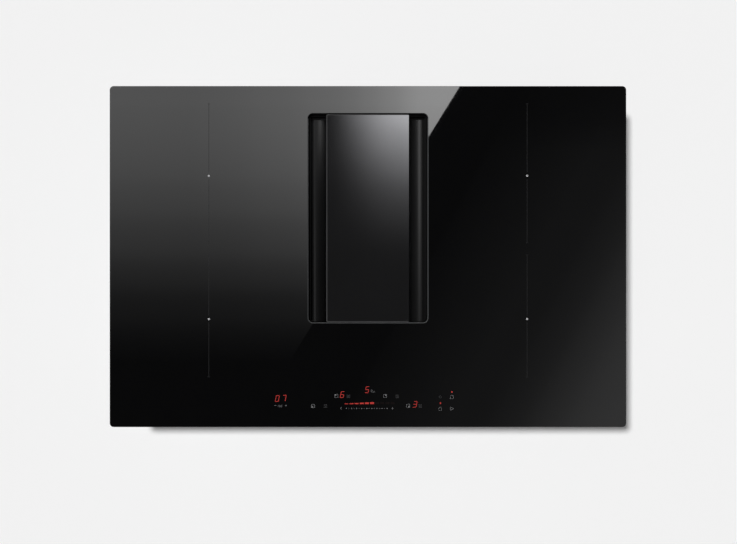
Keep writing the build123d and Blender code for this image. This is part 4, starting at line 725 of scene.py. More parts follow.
@dataclass
class TouchControl(Assembly):
    """The lit figures, the printed symbols and the electronics of the touch control."""

    renewed: tuple = (("touch_tray", TRAY, 0.0003), ("led_displays", LENS, 0.0002))
    dressed: tuple = ((BOARD, "touch_board"),)
    z: Spot = (0.00595, 0.006)
    figure: Spot = (0.0048, 0.0089)
    slant: float = 0.21
    bar: float = 0.00085
    bar_trim: float = 0.55
    thin: float = 0.0005
    figures: tuple = (
        ("0", (-0.1369, -0.2143)), ("7", (-0.1267, -0.2139)), ("6", (-0.0388, -0.2084)),
        ("5", (-0.0013, -0.2010)), ("3", (0.0710, -0.2231)),
    )
    dash_start: float = -0.0326
    dash_pitch: float = 0.00775
    dash_width: float = 0.0060
    dash_foot: float = -0.2228
    dash_rise: Spot = (0.0009, 0.0030)
    dash_corner: float = 0.0003
    lit_dashes: int = 6
    dashes: int = 10
    lamps: tuple = ((0.1268, -0.2045), (0.1094, -0.2214))
    lamp_radius: float = 0.0012
    slider_y: float = -0.2293
    slider: Spot = (-0.0326, 0.0289)
    slider_dots: int = 17
    dot_radii: Spot = (0.0008, 0.0005)
    symbol: float = 0.0048
    square_gap: float = 0.8
    square_corner: float = 0.0003
    squares: tuple = (
        ((-0.0829, -0.2256), (-1, -1)), ((0.0258, -0.2105), (1, 1)),
        ((-0.0477, -0.2104), (-1, 1)), ((0.0607, -0.2253), (1, -1)),
    )
    arcs: tuple = (
        ((0.0076, -0.2024), 0.0030, 150, 330, 8), ((0.0076, -0.2024), 0.0015, 150, 330, 6),
        ((0.1090, -0.2303), 0.0024, 0, 360, 12), ((0.1090, -0.2281), 0.0014, 10, 170, 6),
    )
    outlines: tuple = (
        (
            (0.1244, -0.2148), (0.1244, -0.21096), (0.1268, -0.20904), (0.1292, -0.21096),
            (0.1292, -0.2148), (0.1244, -0.2148),
        ),
        ((0.1245, -0.2272), (0.1294, -0.2297), (0.1245, -0.2322), (0.1245, -0.2272)),
        ((-0.0400, -0.2276), (-0.0418, -0.2291), (-0.0400, -0.2306)),
        ((0.0356, -0.2291), (0.0388, -0.2291)), ((0.0372, -0.2307), (0.0372, -0.2275)),
        ((-0.1251, -0.2249), (-0.1227, -0.2249)), ((-0.1239, -0.2261), (-0.1239, -0.2237)),
        ((-0.1411, -0.2249), (-0.1387, -0.2249)),
    )
    small_print: tuple = (((-0.1325, -0.2257), 0.0062, 2),)
    dim_arcs: tuple = (((0.1093, -0.2120), 0.0016, 0, 360, 10),)
    dim_print: tuple = (
        ((-0.0297, -0.2111), 0.0046, 3), ((0.0441, -0.2111), 0.0046, 3),
        ((-0.0643, -0.2258), 0.0046, 3), ((0.0789, -0.2258), 0.0046, 3),
    )
    print_pitch: float = 0.0019
    pads: tuple = (
        (-0.083, -0.2245), (-0.065, -0.2245), (-0.052, -0.2115), (0.026, -0.2115), (0.044, -0.2115),
        (0.088, -0.223), (0.109, -0.208), (0.127, -0.210), (0.109, -0.2285), (0.127, -0.2285),
    )
    pad_z: Spot = (-0.0034, 0.0019)
    pad_radius: float = 0.0038
    pad_wire: float = 0.0004
    pad_turns: int = 5
    turn_steps: int = 14
    cap: float = 0.0003

    def digit(self, bm: Mesh, figure: str, centre: Spot) -> None:
        """Print a slanted seven-segment figure.

        Args:
            bm: The mesh.
            figure: The figure.
            centre: Its centre.
        """
        for letter in FIGURES[figure]:
            ends = []
            for column, row in Segment[letter].value:
                dy = (row - 1) * self.figure[1] / 2
                dx = (column - 0.5) * self.figure[0] + dy * self.slant
                ends.append(Vector((centre[0] + dx, centre[1] + dy)))
            trim = (ends[1] - ends[0]).normalized() * self.bar * self.bar_trim
            path(bm, [ends[0] + trim, ends[1] - trim], self.bar, self.z)

    def dash_row(self, bm: Mesh, numbers: range) -> None:
        """Print the power dashes with the given numbers, each taller than the last.

        Args:
            bm: The mesh.
            numbers: The dashes' numbers from the left.
        """
        low, high = self.dash_rise
        for number in numbers:
            rise = low + (high - low) * min(1.0, number / (self.lit_dashes - 1))
            centre = (self.dash_start + number * self.dash_pitch, self.dash_foot + rise / 2)
            box(bm, centre, (self.dash_width, rise), self.z, self.dash_corner, 2)

    def lit(self) -> None:
        """Print the lit figures, lamps and dashes, and the dashes that aren't lit."""
        bm = bmesh.new()
        for figure, centre in self.figures:
            self.digit(bm, figure, centre)
        for spot in self.lamps:
            post(bm, spot, self.lamp_radius, self.z)
        self.dash_row(bm, range(self.lit_dashes))
        self.shop.own(bm, "lit_figures", "led_displays", RED_LIGHT)
        bm = bmesh.new()
        self.dash_row(bm, range(self.lit_dashes, self.dashes))
        self.shop.own(bm, "unlit_dashes", "led_displays", RED_DIM)

    def square(self, bm: Mesh, centre: Spot, lit_corner: Spot) -> None:
        """Print a zone symbol: a square outline, one quarter filled.

        Args:
            bm: The mesh.
            centre: The symbol's centre.
            lit_corner: The signs of the filled quarter in X and Y.
        """
        half, gap = self.symbol / 2, self.square_gap
        for sx, sy in ((-1, -1), (-1, 1), (1, -1), (1, 1)):
            x, y = centre[0] + sx * half, centre[1] + sy * half
            reach = half * (1.0 if (sx, sy) == lit_corner else gap)
            path(bm, [(x - sx * reach, y), (x, y), (x, y - sy * reach)], self.thin, self.z)
        spot = (centre[0] + lit_corner[0] * half / 2, centre[1] + lit_corner[1] * half / 2)
        box(bm, spot, (half * gap,) * 2, self.z, self.square_corner, 2)

    def draw(self, bm: Mesh, arcs: tuple, small_print: tuple) -> None:
        """Print arcs, and a few short level bars in place of small print.

        Args:
            bm: The mesh.
            arcs: Each arc's centre, radius, first and last angle and number of steps.
            small_print: The centre, width and number of rows of each group of bars.
        """
        for row in arcs:
            path(bm, arc(*row), self.thin, self.z)
        for (x, middle), width, rows in small_print:
            for row in range(rows):
                y = middle + ((rows - 1) / 2 - row) * self.print_pitch
                path(bm, [(x - width / 2, y), (x + width / 2, y)], self.thin, self.z)

    def symbols(self) -> None:
        """Print the grey symbols of the control and the dots of its slider."""
        bm = bmesh.new()
        for centre, lit_corner in self.squares:
            self.square(bm, centre, lit_corner)
        for outline in self.outlines:
            path(bm, outline, self.thin, self.z)
        self.draw(bm, self.arcs, self.small_print)
        left, right = self.slider
        for number in range(self.slider_dots):
            x = left + (right - left) * number / (self.slider_dots - 1)
            post(bm, (x, self.slider_y), self.dot_radii[number % 2], self.z, 12)
        self.shop.own(bm, "grey_symbols", "glass_top", ICON_INK)
        bm = bmesh.new()
        self.draw(bm, self.dim_arcs, self.dim_print)
        self.shop.own(bm, "dim_symbols", "glass_top", DIM_INK)

    def springs(self) -> None:
        """Stand a coil spring with its cap under each touch spot."""
        bm = bmesh.new()
        foot, top = self.pad_z
        wire, steps, rise = self.pad_wire, self.turn_steps * self.pad_turns, top - foot - 3 * self.pad_wire
        for x, y in self.pads:
            place = Matrix.Translation((x, y, foot + wire))
            wound(bm, place, self.pad_radius, wire, steps, 6, self.pad_turns, rise)
            post(bm, (x, y), self.pad_radius + wire, (top - self.cap, top), 24)
        self.shop.own(bm, "touch_springs", "touch_pads", SPRING, "touch_pads")

    def build(self) -> None:
        """Build the prints, and what lies under the glass."""
        self.lit()
        self.symbols()
        super().build()
        self.springs()


@dataclass
class CentrePanel(Assembly):
    """The loose panel in the opening, on its four rubber feet."""

    renewed: tuple = (("panel_feet", RUBBER),)
    size: Spot = (0.125, 0.313)
    centre: Spot = (0.0, 0.058)
    corner: float = 0.0015
    z: Spot = (0.0018, 0.0058)
    edge: float = 0.0008
    foot_edge: float = 0.00024
    # How far a chamfer's normal may lean right and still take the painted highlight.
    bright: float = 0.3

    def build(self) -> None:
        """Build the panel, with a painted highlight on its left, front and rear chamfers, and renew its feet."""
        bm = bmesh.new()
        box(bm, self.centre, self.size, self.z, self.corner)
        bmesh.ops.recalc_face_normals(bm, faces=bm.faces[:])
        bevel(bm, level_edges(bm, self.z[1]), self.edge, 1)
        bevel(bm, level_edges(bm, self.z[0], upper=False), self.foot_edge, 2)
        bmesh.ops.recalc_face_normals(bm, faces=bm.faces[:])
        # Chamfers not facing right take the lighter finish, a painted highlight for light from the left; the right
        # chamfer stays plain.
        for face in bm.faces:
            face.material_index = int(CHAMFER[0] < face.normal.z < CHAMFER[1] and face.normal.x < self.bright)
        plate = self.shop.piece(bm, "panel_plate", "centre_panel", PANEL, "centre_panel", smooth=20.0)
        plate.data.materials.append(PANEL_EDGE_HIGHLIGHT.material())
        super().build()


@dataclass
class AirPath(Assembly):
    """The lining of the opening and the filters that hang in it."""

    renewed: tuple = (
        ("inlet_collar", COLLAR), ("collar_seal", RUBBER), ("air_guide", GUIDE, 0.0005, 3),
        ("grease_filter_frame", ANODISED, 0.0005), ("odour_filter_frame", TRAY),
    )
    dressed: tuple = ((ANODISED, "grease_filter_mesh"), (WIRE, "filter_handle"), (CARBON, "odour_filter_block"))
    level: float = 0.999
    upright: float = 0.02

    def build(self) -> None:
        """Renew the parts, and make the air guide's level and upright faces matt."""
        super().build()
        guide = bpy.data.objects["air_guide_rounded"].data
        guide.materials.append(GUIDE_FLAT.material())
        for face in guide.polygons:
            slope = abs(face.normal.z)
            face.material_index = int(slope > self.level or slope < self.upright)


@dataclass
class Pan(Assembly):
    """The zinc-coated pan, with its clamps."""

    renewed: tuple = (
        ("base_pan", ZINC_SHEET, 0.0003), ("pan_walls", ZINC_SHEET, 0.0003),
        ("clamp_brackets", ZINC_SHEET, 0.0005), ("clamp_screws", BRIGHT_ZINC, 0.0005, 3, 0.0011),
    )
    underside: float = -0.058
    bead_width: float = 0.007
    bead_rise: float = 0.0009
    bead_corner: float = 0.016
    bead_frames: tuple = (((-0.241, 0.0), (0.222, 0.262)), ((0.0, -0.187), (0.456, 0.084)))
    fan: Spot = (0.29, -0.19)
    guard_radii: tuple = (0.008, 0.017, 0.026, 0.035)
    guard_wire: float = 0.0008
    guard_reach: float = 0.0395

    def beads(self) -> None:
        """Press two stiffening frames into the pan's floor."""
        bm = bmesh.new()
        for centre, size in self.bead_frames:
            inner_size = tuple(side - 2 * self.bead_width for side in size)
            outer = rectangle(bm, centre, size, self.underside, self.bead_corner, 8)
            inner = rectangle(bm, centre, inner_size, self.underside, self.bead_corner - self.bead_width, 8)
            tube(bm, outer, inner, -self.bead_rise)
        crest = level_edges(bm, self.underside - self.bead_rise, upper=False, angle=CREASE)
        bevel(bm, crest, self.bead_rise * 0.8, 4)
        self.shop.own(bm, "pan_beads", "base_pan", ZINC_SHEET)

    def guards(self) -> None:
        """Weld a wire guard under each fan."""
        bm = bmesh.new()
        wire = self.guard_wire
        z = self.underside - wire
        cross = (2 * self.guard_reach, 2 * wire)
        for x in (-self.fan[0], self.fan[0]):
            for radius in self.guard_radii:
                wound(bm, Matrix.Translation((x, self.fan[1], z)), radius, wire, 40, 6)
            for size in (cross, cross[::-1]):
                box(bm, (x, self.fan[1]), size, (z - wire * 0.8, z + wire * 0.8))
        self.shop.own(bm, "fan_guards", "clamp_screws", BRIGHT_ZINC)

    def build(self) -> None:
        """Renew the pan, the clamps and their screws, and add beads and guards."""
        super().build()
        self.beads()
        self.guards()


@dataclass
class FanHousing(Assembly):
    """The housing under the pan with its duct collar and drip tray."""

    renewed: tuple = (
        ("housing_upper", HOUSING, 0.0006), ("housing_lower", HOUSING, 0.0006), ("housing_floor", HOUSING, 0.0006),
        ("duct_collar", COLLAR), ("drip_tray", HOUSING, 0.0008, 3),
        ("housing_screws", BRIGHT_ZINC, 0.0005, 3, 0.0011),
    )
    walls: tuple = ((-0.114, 0.369), (-0.120, 0.236))
    corner: float = 0.014
    rib_width: float = 0.0022
    rib_rise: float = 0.0013
    rib_pitch: float = 0.0225
    rib_sink: float = 0.0003
    upper_z: Spot = (-0.1035, -0.066)
    lower_z: Spot = (-0.197, -0.1205)
    above_tray: float = -0.1475
    tray_reach: float = 0.112
    duct_left: float = 0.136
    spigot: Spot = (0.222, 0.089)
    spigot_mid: Spot = (0.254, -0.1575)
    spigot_corner: float = 0.005
    tray_ribs: tuple = (-0.078, -0.040, -0.002, 0.036, 0.074)
    tray_rib_mid: float = 0.0465
    tray_rib: Spot = (0.0044, 0.317)
    tray_rib_z: Spot = (-0.1978, -0.1962)
    snap_y: tuple = (0.2405, 0.2455, 0.2505)
    snap_rise: float = 0.0012
    snap_sink: float = 0.0001
    snap_width: float = 0.0014

    def spans(self, axis: int, side: int, at: float) -> list[Spot]:
        """Give the heights between which a rib runs.

        Args:
            axis: 0 for the front and rear walls, 1 for the side walls.
            side: The wall's sign.
            at: The rib's place along the wall.

        Returns:
            The spans, from low to high.
        """
        if axis == 0 and side > 0 and at > self.duct_left:
            return [self.upper_z]
        if axis == 0 and side < 0 and at < self.tray_reach:
            return [self.upper_z, (self.above_tray, self.lower_z[1])]
        return [self.upper_z, self.lower_z]

    def wall_ribs(self) -> None:
        """Stand ribs on the outer walls, clear of the tray, the lugs and the duct."""
        bm = bmesh.new()
        size = (self.rib_width, self.rib_rise + self.rib_sink)
        for axis, (start, end) in enumerate(self.walls):
            length = end - start - 2 * self.corner
            count = int(length / self.rib_pitch)
            for number in range(count + 1):
                at = start + self.corner + length * number / count
                for side, wall in zip((-1, 1), self.walls[1 - axis]):
                    spot = (at, wall + side * (self.rib_rise - self.rib_sink) / 2)
                    for z in self.spans(axis, side, at):
                        box(bm, spot[::-1] if axis else spot, size[::-1] if axis else size, z)
        bevel(bm, sharp_edges(bm), self.rib_width / 4, 2)
        self.shop.own(bm, "housing_ribs", "housing_lower", HOUSING)

    def snap_ribs(self) -> None:
        """Run three low ribs around the duct spigot."""
        bm = bmesh.new()
        for y in self.snap_y:
            grown = tuple(side + 2 * self.snap_rise for side in self.spigot)
            sunk = tuple(side - 2 * self.snap_sink for side in self.spigot)
            outer = rectangle(bm, (0.0, 0.0), grown, y, self.spigot_corner, 5)
            inner = rectangle(bm, (0.0, 0.0), sunk, y, self.spigot_corner - 0.001, 5)
            tube(bm, outer, inner, self.snap_width)
        bevel(bm, sharp_edges(bm), self.snap_width / 4, 2)
        place = Matrix.Translation((self.spigot_mid[0], 0.0, self.spigot_mid[1])) @ Matrix.Rotation(-pi / 2, 4, "X")
        bmesh.ops.transform(bm, matrix=place, verts=bm.verts[:])
        self.shop.own(bm, "duct_snap_ribs", "duct_collar", COLLAR)

    def floor_ribs(self) -> None:
        """Run low ribs along the tray's floor."""
        bm = bmesh.new()
        for x in self.tray_ribs:
            box(bm, (x, self.tray_rib_mid), self.tray_rib, self.tray_rib_z, self.rib_width * 0.9)
        bevel(bm, level_edges(bm, self.tray_rib_z[1]), self.rib_width * 0.3, 3)
        self.shop.own(bm, "tray_ribs", "drip_tray", HOUSING)

    def build(self) -> None:
        """Renew the housing's shells, collar, tray and screws, and add the ribs."""
        super().build()
        self.wall_ribs()
        self.snap_ribs()
        self.floor_ribs()


@dataclass
class Blower(Assembly):
    """The scroll with its impeller and motor."""

    renewed: tuple = (
        ("scroll_housing", HOUSING), ("inlet_plate", HOUSING), ("motor_screws", BRIGHT_ZINC, 0.0003, 3, 0.0008),
    )
    dressed: tuple = ((IMPELLER, "impeller"), (STEEL, "motor_rotor"), (LAMINATION, "motor_stator"))


ZONES = ("rear_left", "front_left", "rear_right", "front_right")


@dataclass
class CookingZones(Assembly):
    """The coils on their formers, the ferrites, sensors and plates."""

    renewed: tuple = (
        *((f"former_{zone}", FORMER) for zone in ZONES), ("ferrite_bars", FERRITE, 0.0005),
        ("temperature_sensors", SILICONE, 0.0005), ("carrier_posts", NYLON, 0.0006),
        ("carrier_plates", ALUMINIUM, 0.0003),
    )
    dressed: tuple = ((COPPER, *(f"coil_{zone}" for zone in ZONES)), (MICA, "mica_sheets"))


@dataclass
class Electronics(Assembly):
    """The power boards with their parts and the cooling fans, the same on the left and the right."""

    renewed: tuple = (
        *((f"{node}_{side}", finish, width) for side in ("left", "right") for node, finish, width in (
            ("heatsink", ALUMINIUM, 0.0003), ("cooling_fan_frame", FAN_PLASTIC, 0.0005),
            ("cooling_fan_rotor", FAN_PLASTIC, 0.0003),
        )),
        ("board_capacitors", SLEEVE, 0.0008, 3), ("board_chokes", CORE, 0.0015, 3),
    )
    dressed: tuple = ((BOARD, "power_board_left", "power_board_right"),)
    board_top: float = -0.0492
    film_parts: tuple = (
        ((0.250, 0.118), (0.031, 0.011), 0.019), ((0.250, 0.134), (0.031, 0.011), 0.019),
        ((0.232, -0.060), (0.026, 0.010), 0.016), ((0.232, -0.030), (0.026, 0.010), 0.016),
    )
    dark_parts: tuple = (
        ((0.302, 0.178), (0.019, 0.015), 0.016), ((0.302, 0.154), (0.019, 0.015), 0.016),
        ((0.302, 0.118), (0.030, 0.024), 0.018), ((0.238, 0.020), (0.014, 0.014), 0.0022),
        ((0.232, 0.052), (0.009, 0.006), 0.0018), ((0.171, 0.030), (0.016, 0.010), 0.0020),
        ((0.238, 0.186), (0.024, 0.006), 0.0180),
    )
    ivory_parts: tuple = (
        ((0.172, -0.110), (0.026, 0.008), 0.010), ((0.212, -0.110), (0.018, 0.008), 0.010),
        ((0.172, 0.202), (0.022, 0.008), 0.010), ((0.262, 0.203), (0.030, 0.008), 0.012),
    )
    part_edge: float = 0.0003
    cans: tuple = ((0.166, 0.088), (0.166, 0.070), (0.216, 0.088), (0.218, 0.160), (0.166, -0.092))
    can_radius: float = 0.005
    can_rise: float = 0.0125
    can_edge: float = 0.0004
    rim_step: float = 0.004
    chip_groups: tuple = ((0.158, -0.080), (0.205, 0.028), (0.262, 0.160))
    chip_grid: tuple = (4, 6)
    chip_pitch: Spot = (0.0052, 0.0036)
    chip: Point = (0.0032, 0.0016, 0.0008)
    choke_centres: tuple = ((0.190, -0.0571), (0.190, -0.0121))
    choke_mid: float = 0.0125
    choke_section: Spot = (0.0064, 0.0092)
    choke_z: float = -0.0403
    winding: float = 0.0007
    windings: int = 22
    winding_span: tuple = (20, 340)
    big_can: Spot = (0.190, 0.1354)
    big_can_pitch: float = 0.030
    big_can_z: Spot = (-0.0195, -0.0189)
    big_can_radius: float = 0.0088

    def moulded_parts(self) -> None:
        """Place film capacitors, relays, chips and connectors on both boards."""
        groups = (
            ("film_capacitors", self.film_parts, FILM, 0.0015), ("relays_and_chips", self.dark_parts, CHIP, 0.0006),
            ("board_connectors", self.ivory_parts, IVORY, 0.0005),
        )
        for name, rows, finish, corner in groups:
            bm = bmesh.new()
            for side in (-1, 1):
                for (x, y), size, rise in rows:
                    box(bm, (side * x, y), size, (self.board_top, self.board_top + rise), corner)
            bevel(bm, sharp_edges(bm, CORNER), self.part_edge, 2)
            self.shop.own(bm, name, "power_board_left", finish)

    def surface_parts(self) -> None:
        """Place groups of small chips on both boards."""
        bm = bmesh.new()
        (columns, rows), (across, along) = self.chip_grid, self.chip_pitch
        z = (self.board_top, self.board_top + self.chip[2])
        for side in (-1, 1):
            for x, y in self.chip_groups:
                for number in range(columns * rows):
                    row, column = divmod(number, columns)
                    dx, dy = (column - (columns - 1) / 2) * across, (row - (rows - 1) / 2) * along
                    box(bm, (side * x + dx, y + dy), self.chip[:2], z)
        self.shop.own(bm, "surface_parts", "power_board_left", CHIP)

    def metal_cans(self) -> None:
        """Stand small cans on both boards and lay a disc on each big can's end."""
        bm = bmesh.new()
        for side in (-1, 1):
            for x, y in self.cans:
                post(bm, (side * x, y), self.can_radius, (self.board_top, self.board_top + self.can_rise), 24)
            for number in (-1, 0, 1):
                spot = (side * self.big_can[0], self.big_can[1] + number * self.big_can_pitch)
                post(bm, spot, self.big_can_radius, self.big_can_z)
        rims = [edge for edge in sharp_edges(bm, CORNER) if edge.calc_length() < self.rim_step]
        bevel(bm, rims, self.can_edge, 3)
        self.shop.own(bm, "capacitor_cans", "board_capacitors", FOIL)

    def windings_on_cores(self) -> None:
        """Wind enamelled wire onto the ring cores."""
        bm = bmesh.new()
        unit_wire = 0.1
        first, last = self.winding_span
        for x, y in [(side * x, y) for side in (-1, 1) for x, y in self.choke_centres]:
            for number in range(self.windings):
                angle = radians(first + (last - first) * number / (self.windings - 1))
                spot = (x + self.choke_mid * cos(angle), y + self.choke_mid * sin(angle), self.choke_z)
                turn = Matrix.Rotation(angle, 4, "Z") @ Matrix.Rotation(pi / 2, 4, "X")
                squash = Matrix.Diagonal((*self.choke_section, self.winding / unit_wire, 1.0))
                wound(bm, Matrix.Translation(spot) @ turn @ squash, 1.0, unit_wire, 14, 5)
        self.shop.own(bm, "choke_windings", "board_chokes", MAGNET_WIRE)

    def build(self) -> None:
        """Renew and dress the boards, heatsinks and fans, and place the small parts."""
        super().build()
        self.moulded_parts()
        self.surface_parts()
        self.metal_cans()
        self.windings_on_cores()


@dataclass
class MainsTerminal(Assembly):
    """The terminal box under the pan with its cover and cable inlet."""

    renewed: tuple = (
        ("terminal_box", TRAY, 0.0006), ("terminal_cover", TRAY, 0.0006),
        ("terminal_screws", BRIGHT_ZINC, 0.0005, 3, 0.0011), ("terminal_block", NYLON), ("cable_inlet", TRAY, 0.0005),
    )
    inlet_axis: Spot = (0.1825, -0.075)
    nut_x: float = -0.3288
    nut_length: float = 0.0058
    nut_reach: float = 0.0128
    nut_bore: float = 0.0094
    nut_edge: float = 0.0005
    cover_mid: float = -0.265
    cover_y: Spot = (0.166, 0.199)
    cover_ribs: int = 6
    rib: Spot = (0.084, 0.002)
    rib_z: Spot = (-0.0954, -0.0943)
    rib_edge: float = 0.0006

    def nut(self) -> None:
        """Screw a six-sided nut onto the cable inlet."""
        bm = bmesh.new()
        outer, inner = (disc(bm, (0.0, 0.0), radius, 0.0, 6) for radius in (self.nut_reach, self.nut_bore))
        tube(bm, outer, inner, self.nut_length)
        bevel(bm, sharp_edges(bm), self.nut_edge, 3)
        place = Matrix.Translation((self.nut_x, *self.inlet_axis)) @ Matrix.Rotation(pi / 2, 4, "Y")
        bmesh.ops.transform(bm, matrix=place, verts=bm.verts[:])
        self.shop.own(bm, "inlet_nut", "cable_inlet", TRAY)

    def ribs(self) -> None:
        """Run ribs across the cover."""
        bm = bmesh.new()
        front, rear = self.cover_y
        for number in range(self.cover_ribs):
            y = front + (rear - front) * number / (self.cover_ribs - 1)
            box(bm, (self.cover_mid, y), self.rib, self.rib_z)
        bevel(bm, sharp_edges(bm), self.rib_edge, 3)
        self.shop.own(bm, "cover_ribs", "terminal_cover", TRAY)

    def build(self) -> None:
        """Renew the box, the cover, the inlet and the screws, and add the nut and the ribs."""
        super().build()
        self.nut()
        self.ribs()


# ---- studio --------------------------------------------------------------------------------
class Card(Graph):
    """A clear material that shines, for a card that polished faces mirror."""

    def __init__(self, name: str) -> None:
        """Start the material.

        Args:
            name: The material's name.
        """
        super().__init__(bpy.data.materials.new(name))
        self.nodes.remove(self.shader)
        self.shader = self.add("Emission")
        clear = self.add("BsdfTransparent").outputs[0]
        both = self.add("AddShader", {0: self.shader.outputs[0], 1: clear}).outputs[0]
        self.fill(self.nodes["Material Output"], {"Surface": both})
        self.owner.cycles.emission_sampling = "NONE"

    def axes(self, scale: float, shift: Spot) -> tuple[Socket, Socket, Socket]:
        """Give X, Y and Z after scaling, with a shift added to X and Y."""
        inputs = {"Vector": self.place, "Scale": (scale,) * 3, "Location": (*shift, 0.0)}
        return tuple(self.add("SeparateXYZ", {0: self.add("Mapping", inputs).outputs[0]}).outputs)

    def curve(self, value: Socket, stops: tuple) -> Socket:
        """Read a value off a smooth curve through stops.

        Args:
            value: The value.
            stops: Pairs of a value and its level, in rising order.

        Returns:
            The level.
        """
        low, high = stops[0][0], stops[-1][0]
        peak = max(level for _, level in stops)
        share = self.math("DIVIDE", self.math("SUBTRACT", value, low), high - low)
        node = self.add("ValToRGB", {0: share})
        elements = node.color_ramp.elements
        for _ in stops[2:]:
            elements.new(0.5)
        for element, (at, level) in zip(elements, stops):
            element.position = (at - low) / (high - low)
            element.color = grey(level / peak)
        node.color_ramp.interpolation = "CARDINAL"
        return self.math("MULTIPLY", self.math("MAXIMUM", node.outputs[0], 0.0), peak)

    def field(self, across: tuple, along: tuple, x: Socket, y: Socket) -> Socket:
        """Give the product of a curve read at X and one read at Y."""
        return self.math("MULTIPLY", self.curve(x, across), self.curve(y, along))


@dataclass
class Studio:
    """The floor, the lights, the cards that polished faces mirror, and the camera."""

    floor_z: float = -0.2055
    floor_size: float = 60.0
    floor_grey: float = 0.8
    floor_glow: float = 0.128
    sky_grey: float = 0.896
    ambient: float = 0.06
    horizon: Spot = (0.05, 0.5)
    zenith: Spot = (0.9, 0.03)
    sky_tilt: Point = (0.5, 0.0, 1.0)
    sun_power: float = 2.83
    sun_place: Point = (-0.173, 0.123, 1.0)
    sun_width: float = 3.7
    side_power: float = 7.0
    side_size: Spot = (1.3, 0.7)
    side_distance: float = 1.7
    side_height: float = 0.28
    side_aim: Point = (0.0, 0.0, -0.05)
    below_power: float = 26.0
    below_place: Point = (-0.6, -0.9, -1.7)
    below_size: float = 1.2
    lip_lamps: tuple = (
        (7.0, (-0.40, 0.52, 0.82), (0.0, 0.15, 0.0), 0.12, 180.0),
        (0.055, (0.05, 0.245, 0.07), (-0.08, 0.17, 0.0), 0.03, 80.0),
    )
    streaks: tuple = (
        (
            ((1.0, 0.0), (4.0, 0.5), (8.0, 0.62), (12.0, 0.2), (16.0, 0.0)),
            ((-0.3, 1.0), (-0.09, 0.95), (0.05, 0.55), (0.13, 0.15), (0.3, 0.0)),
        ),
        (
            ((-38.0, 0.0), (-28.0, 1.1), (-19.0, 1.7), (-10.0, 1.1), (-4.0, 0.0)),
            ((-0.3, 0.15), (-0.09, 0.25), (0.06, 0.65), (0.15, 1.0), (0.3, 1.0)),
        ),
    )
    lens: float = 85.0
    sensor: float = 36.0
    view_width: float = 1.1129
    eye: Spot = (0.0008, -0.0233)
    glass_top: float = 0.006
    card_height: float = 1.5
    panel_card_height: float = 1.55
    card_size: float = 3.0
    mirror: float = 0.04
    panel_mirror: float = 0.075
    edge_slope: float = 0.6192
    edge_start: float = -0.0206
    tunnel_radius: float = 1.0
    rows: tuple = (
        (-0.16, 0.0), (-0.10, 0.0036), (-0.05, 0.009), (0.0, 0.0205), (0.06, 0.036),
        (0.12, 0.055), (0.225, 0.0765), (0.26, 0.079),
    )
    columns: tuple = (
        (-0.27, 1.0), (-0.178, 1.16), (-0.103, 1.36), (-0.042, 1.6), (-0.012, 1.87),
        (0.018, 2.22), (0.0485, 2.65), (0.076, 3.17), (0.15, 3.3),
    )
    glow_slant: float = 0.54
    glow_columns: tuple = (
        (0.07, 0.0), (0.10, 0.0005), (0.24, 0.0035), (0.317, 0.005),
        (0.377, 0.0102), (0.437, 0.0197), (0.504, 0.0272),
    )
    glow_rows: tuple = ((-0.26, 1.0), (0.0, 1.0), (0.16, 0.85), (0.20, 0.45), (0.26, 0.25))
    panel_rows: tuple = (
        (-0.02, 0.0), (0.025, 0.018), (0.055, 0.056), (0.086, 0.12), (0.116, 0.25),
        (0.161, 0.63), (0.191, 1.0), (0.22, 1.5),
    )
    panel_columns: tuple = (
        (-0.062, 0.0), (-0.046, 0.006), (-0.027, 0.052), (-0.012, 0.096),
        (0.018, 0.204), (0.0485, 0.279), (0.065, 0.30),
    )
    panel_floor: float = 0.006

    @property
    def distance(self) -> float:
        """The camera's height over the glass."""
        return self.view_width * self.lens / self.sensor

    def place(self, name: str, data: bpy.types.ID, location: Point = (0.0, 0.0, 0.0)) -> Object:
        """Put an object into the scene.

        Args:
            name: The object's name.
            data: Its mesh, lamp or camera.
            location: Where it stands.

        Returns:
            The object.
        """
        obj = bpy.data.objects.new(name, data)
        obj.location = location
        bpy.context.scene.collection.objects.link(obj)
        return obj

    def camera(self) -> None:
        """Set the camera straight above the glass."""
        data = bpy.data.cameras.new("camera")
        data.lens = self.lens
        data.sensor_width = self.sensor
        bpy.context.scene.camera = self.place("camera", data, (*self.eye, self.glass_top + self.distance))

    def staged(self, bm: Mesh, name: str, material: bpy.types.Material) -> Object:
        """Turn a mesh into a piece of the stage.

        Args:
            bm: The mesh, which is freed.
            name: The object's name.
            material: Its material.

        Returns:
            The object.
        """
        mesh = bpy.data.meshes.new(name)
        bm.to_mesh(mesh)
        bm.free()
        mesh.materials.append(material)
        obj = self.place(name, mesh)
        return obj

    def linked(self, name: str, pieces: list, spared: bool = False) -> bpy.types.Collection:
        """Collect the pieces that a light is linked to.

        Args:
            name: The collection's name.
            pieces: The pieces.
            spared: Whether the light leaves them out, instead of meeting nothing else.

        Returns:
            The collection.
        """
        group = bpy.data.collections.new(name)
        for index, piece in enumerate(pieces):
            group.objects.link(piece)
            if spared:
                group.collection_objects[index].light_linking.link_state = "EXCLUDE"
        return group

    def floor(self) -> Object:
        """Lay the pale floor under the housing, clear from below, a part of its paleness its own.

        Returns:
            The floor.
        """
        bm = bmesh.new()
        rectangle(bm, (0.0, 0.0), (self.floor_size, self.floor_size), self.floor_z)
        graph = Graph(bpy.data.materials.new("pale_floor"))
        graph.fill(graph.shader, {
            "Roughness": 1.0, "Specular IOR Level": 0.0, "Base Color": grey(self.floor_grey),
            "Emission Color": grey(1.0), "Emission Strength": self.floor_glow,
        })
        back = graph.add("NewGeometry").outputs["Backfacing"]
        clear = graph.add("BsdfTransparent").outputs[0]
        both = graph.add("MixShader", {0: back, 1: graph.shader.outputs[0], 2: clear}).outputs[0]
        graph.fill(graph.nodes["Material Output"], {"Surface": both})
        graph.owner.cycles.emission_sampling = "NONE"
        return self.staged(bm, "floor", graph.owner)

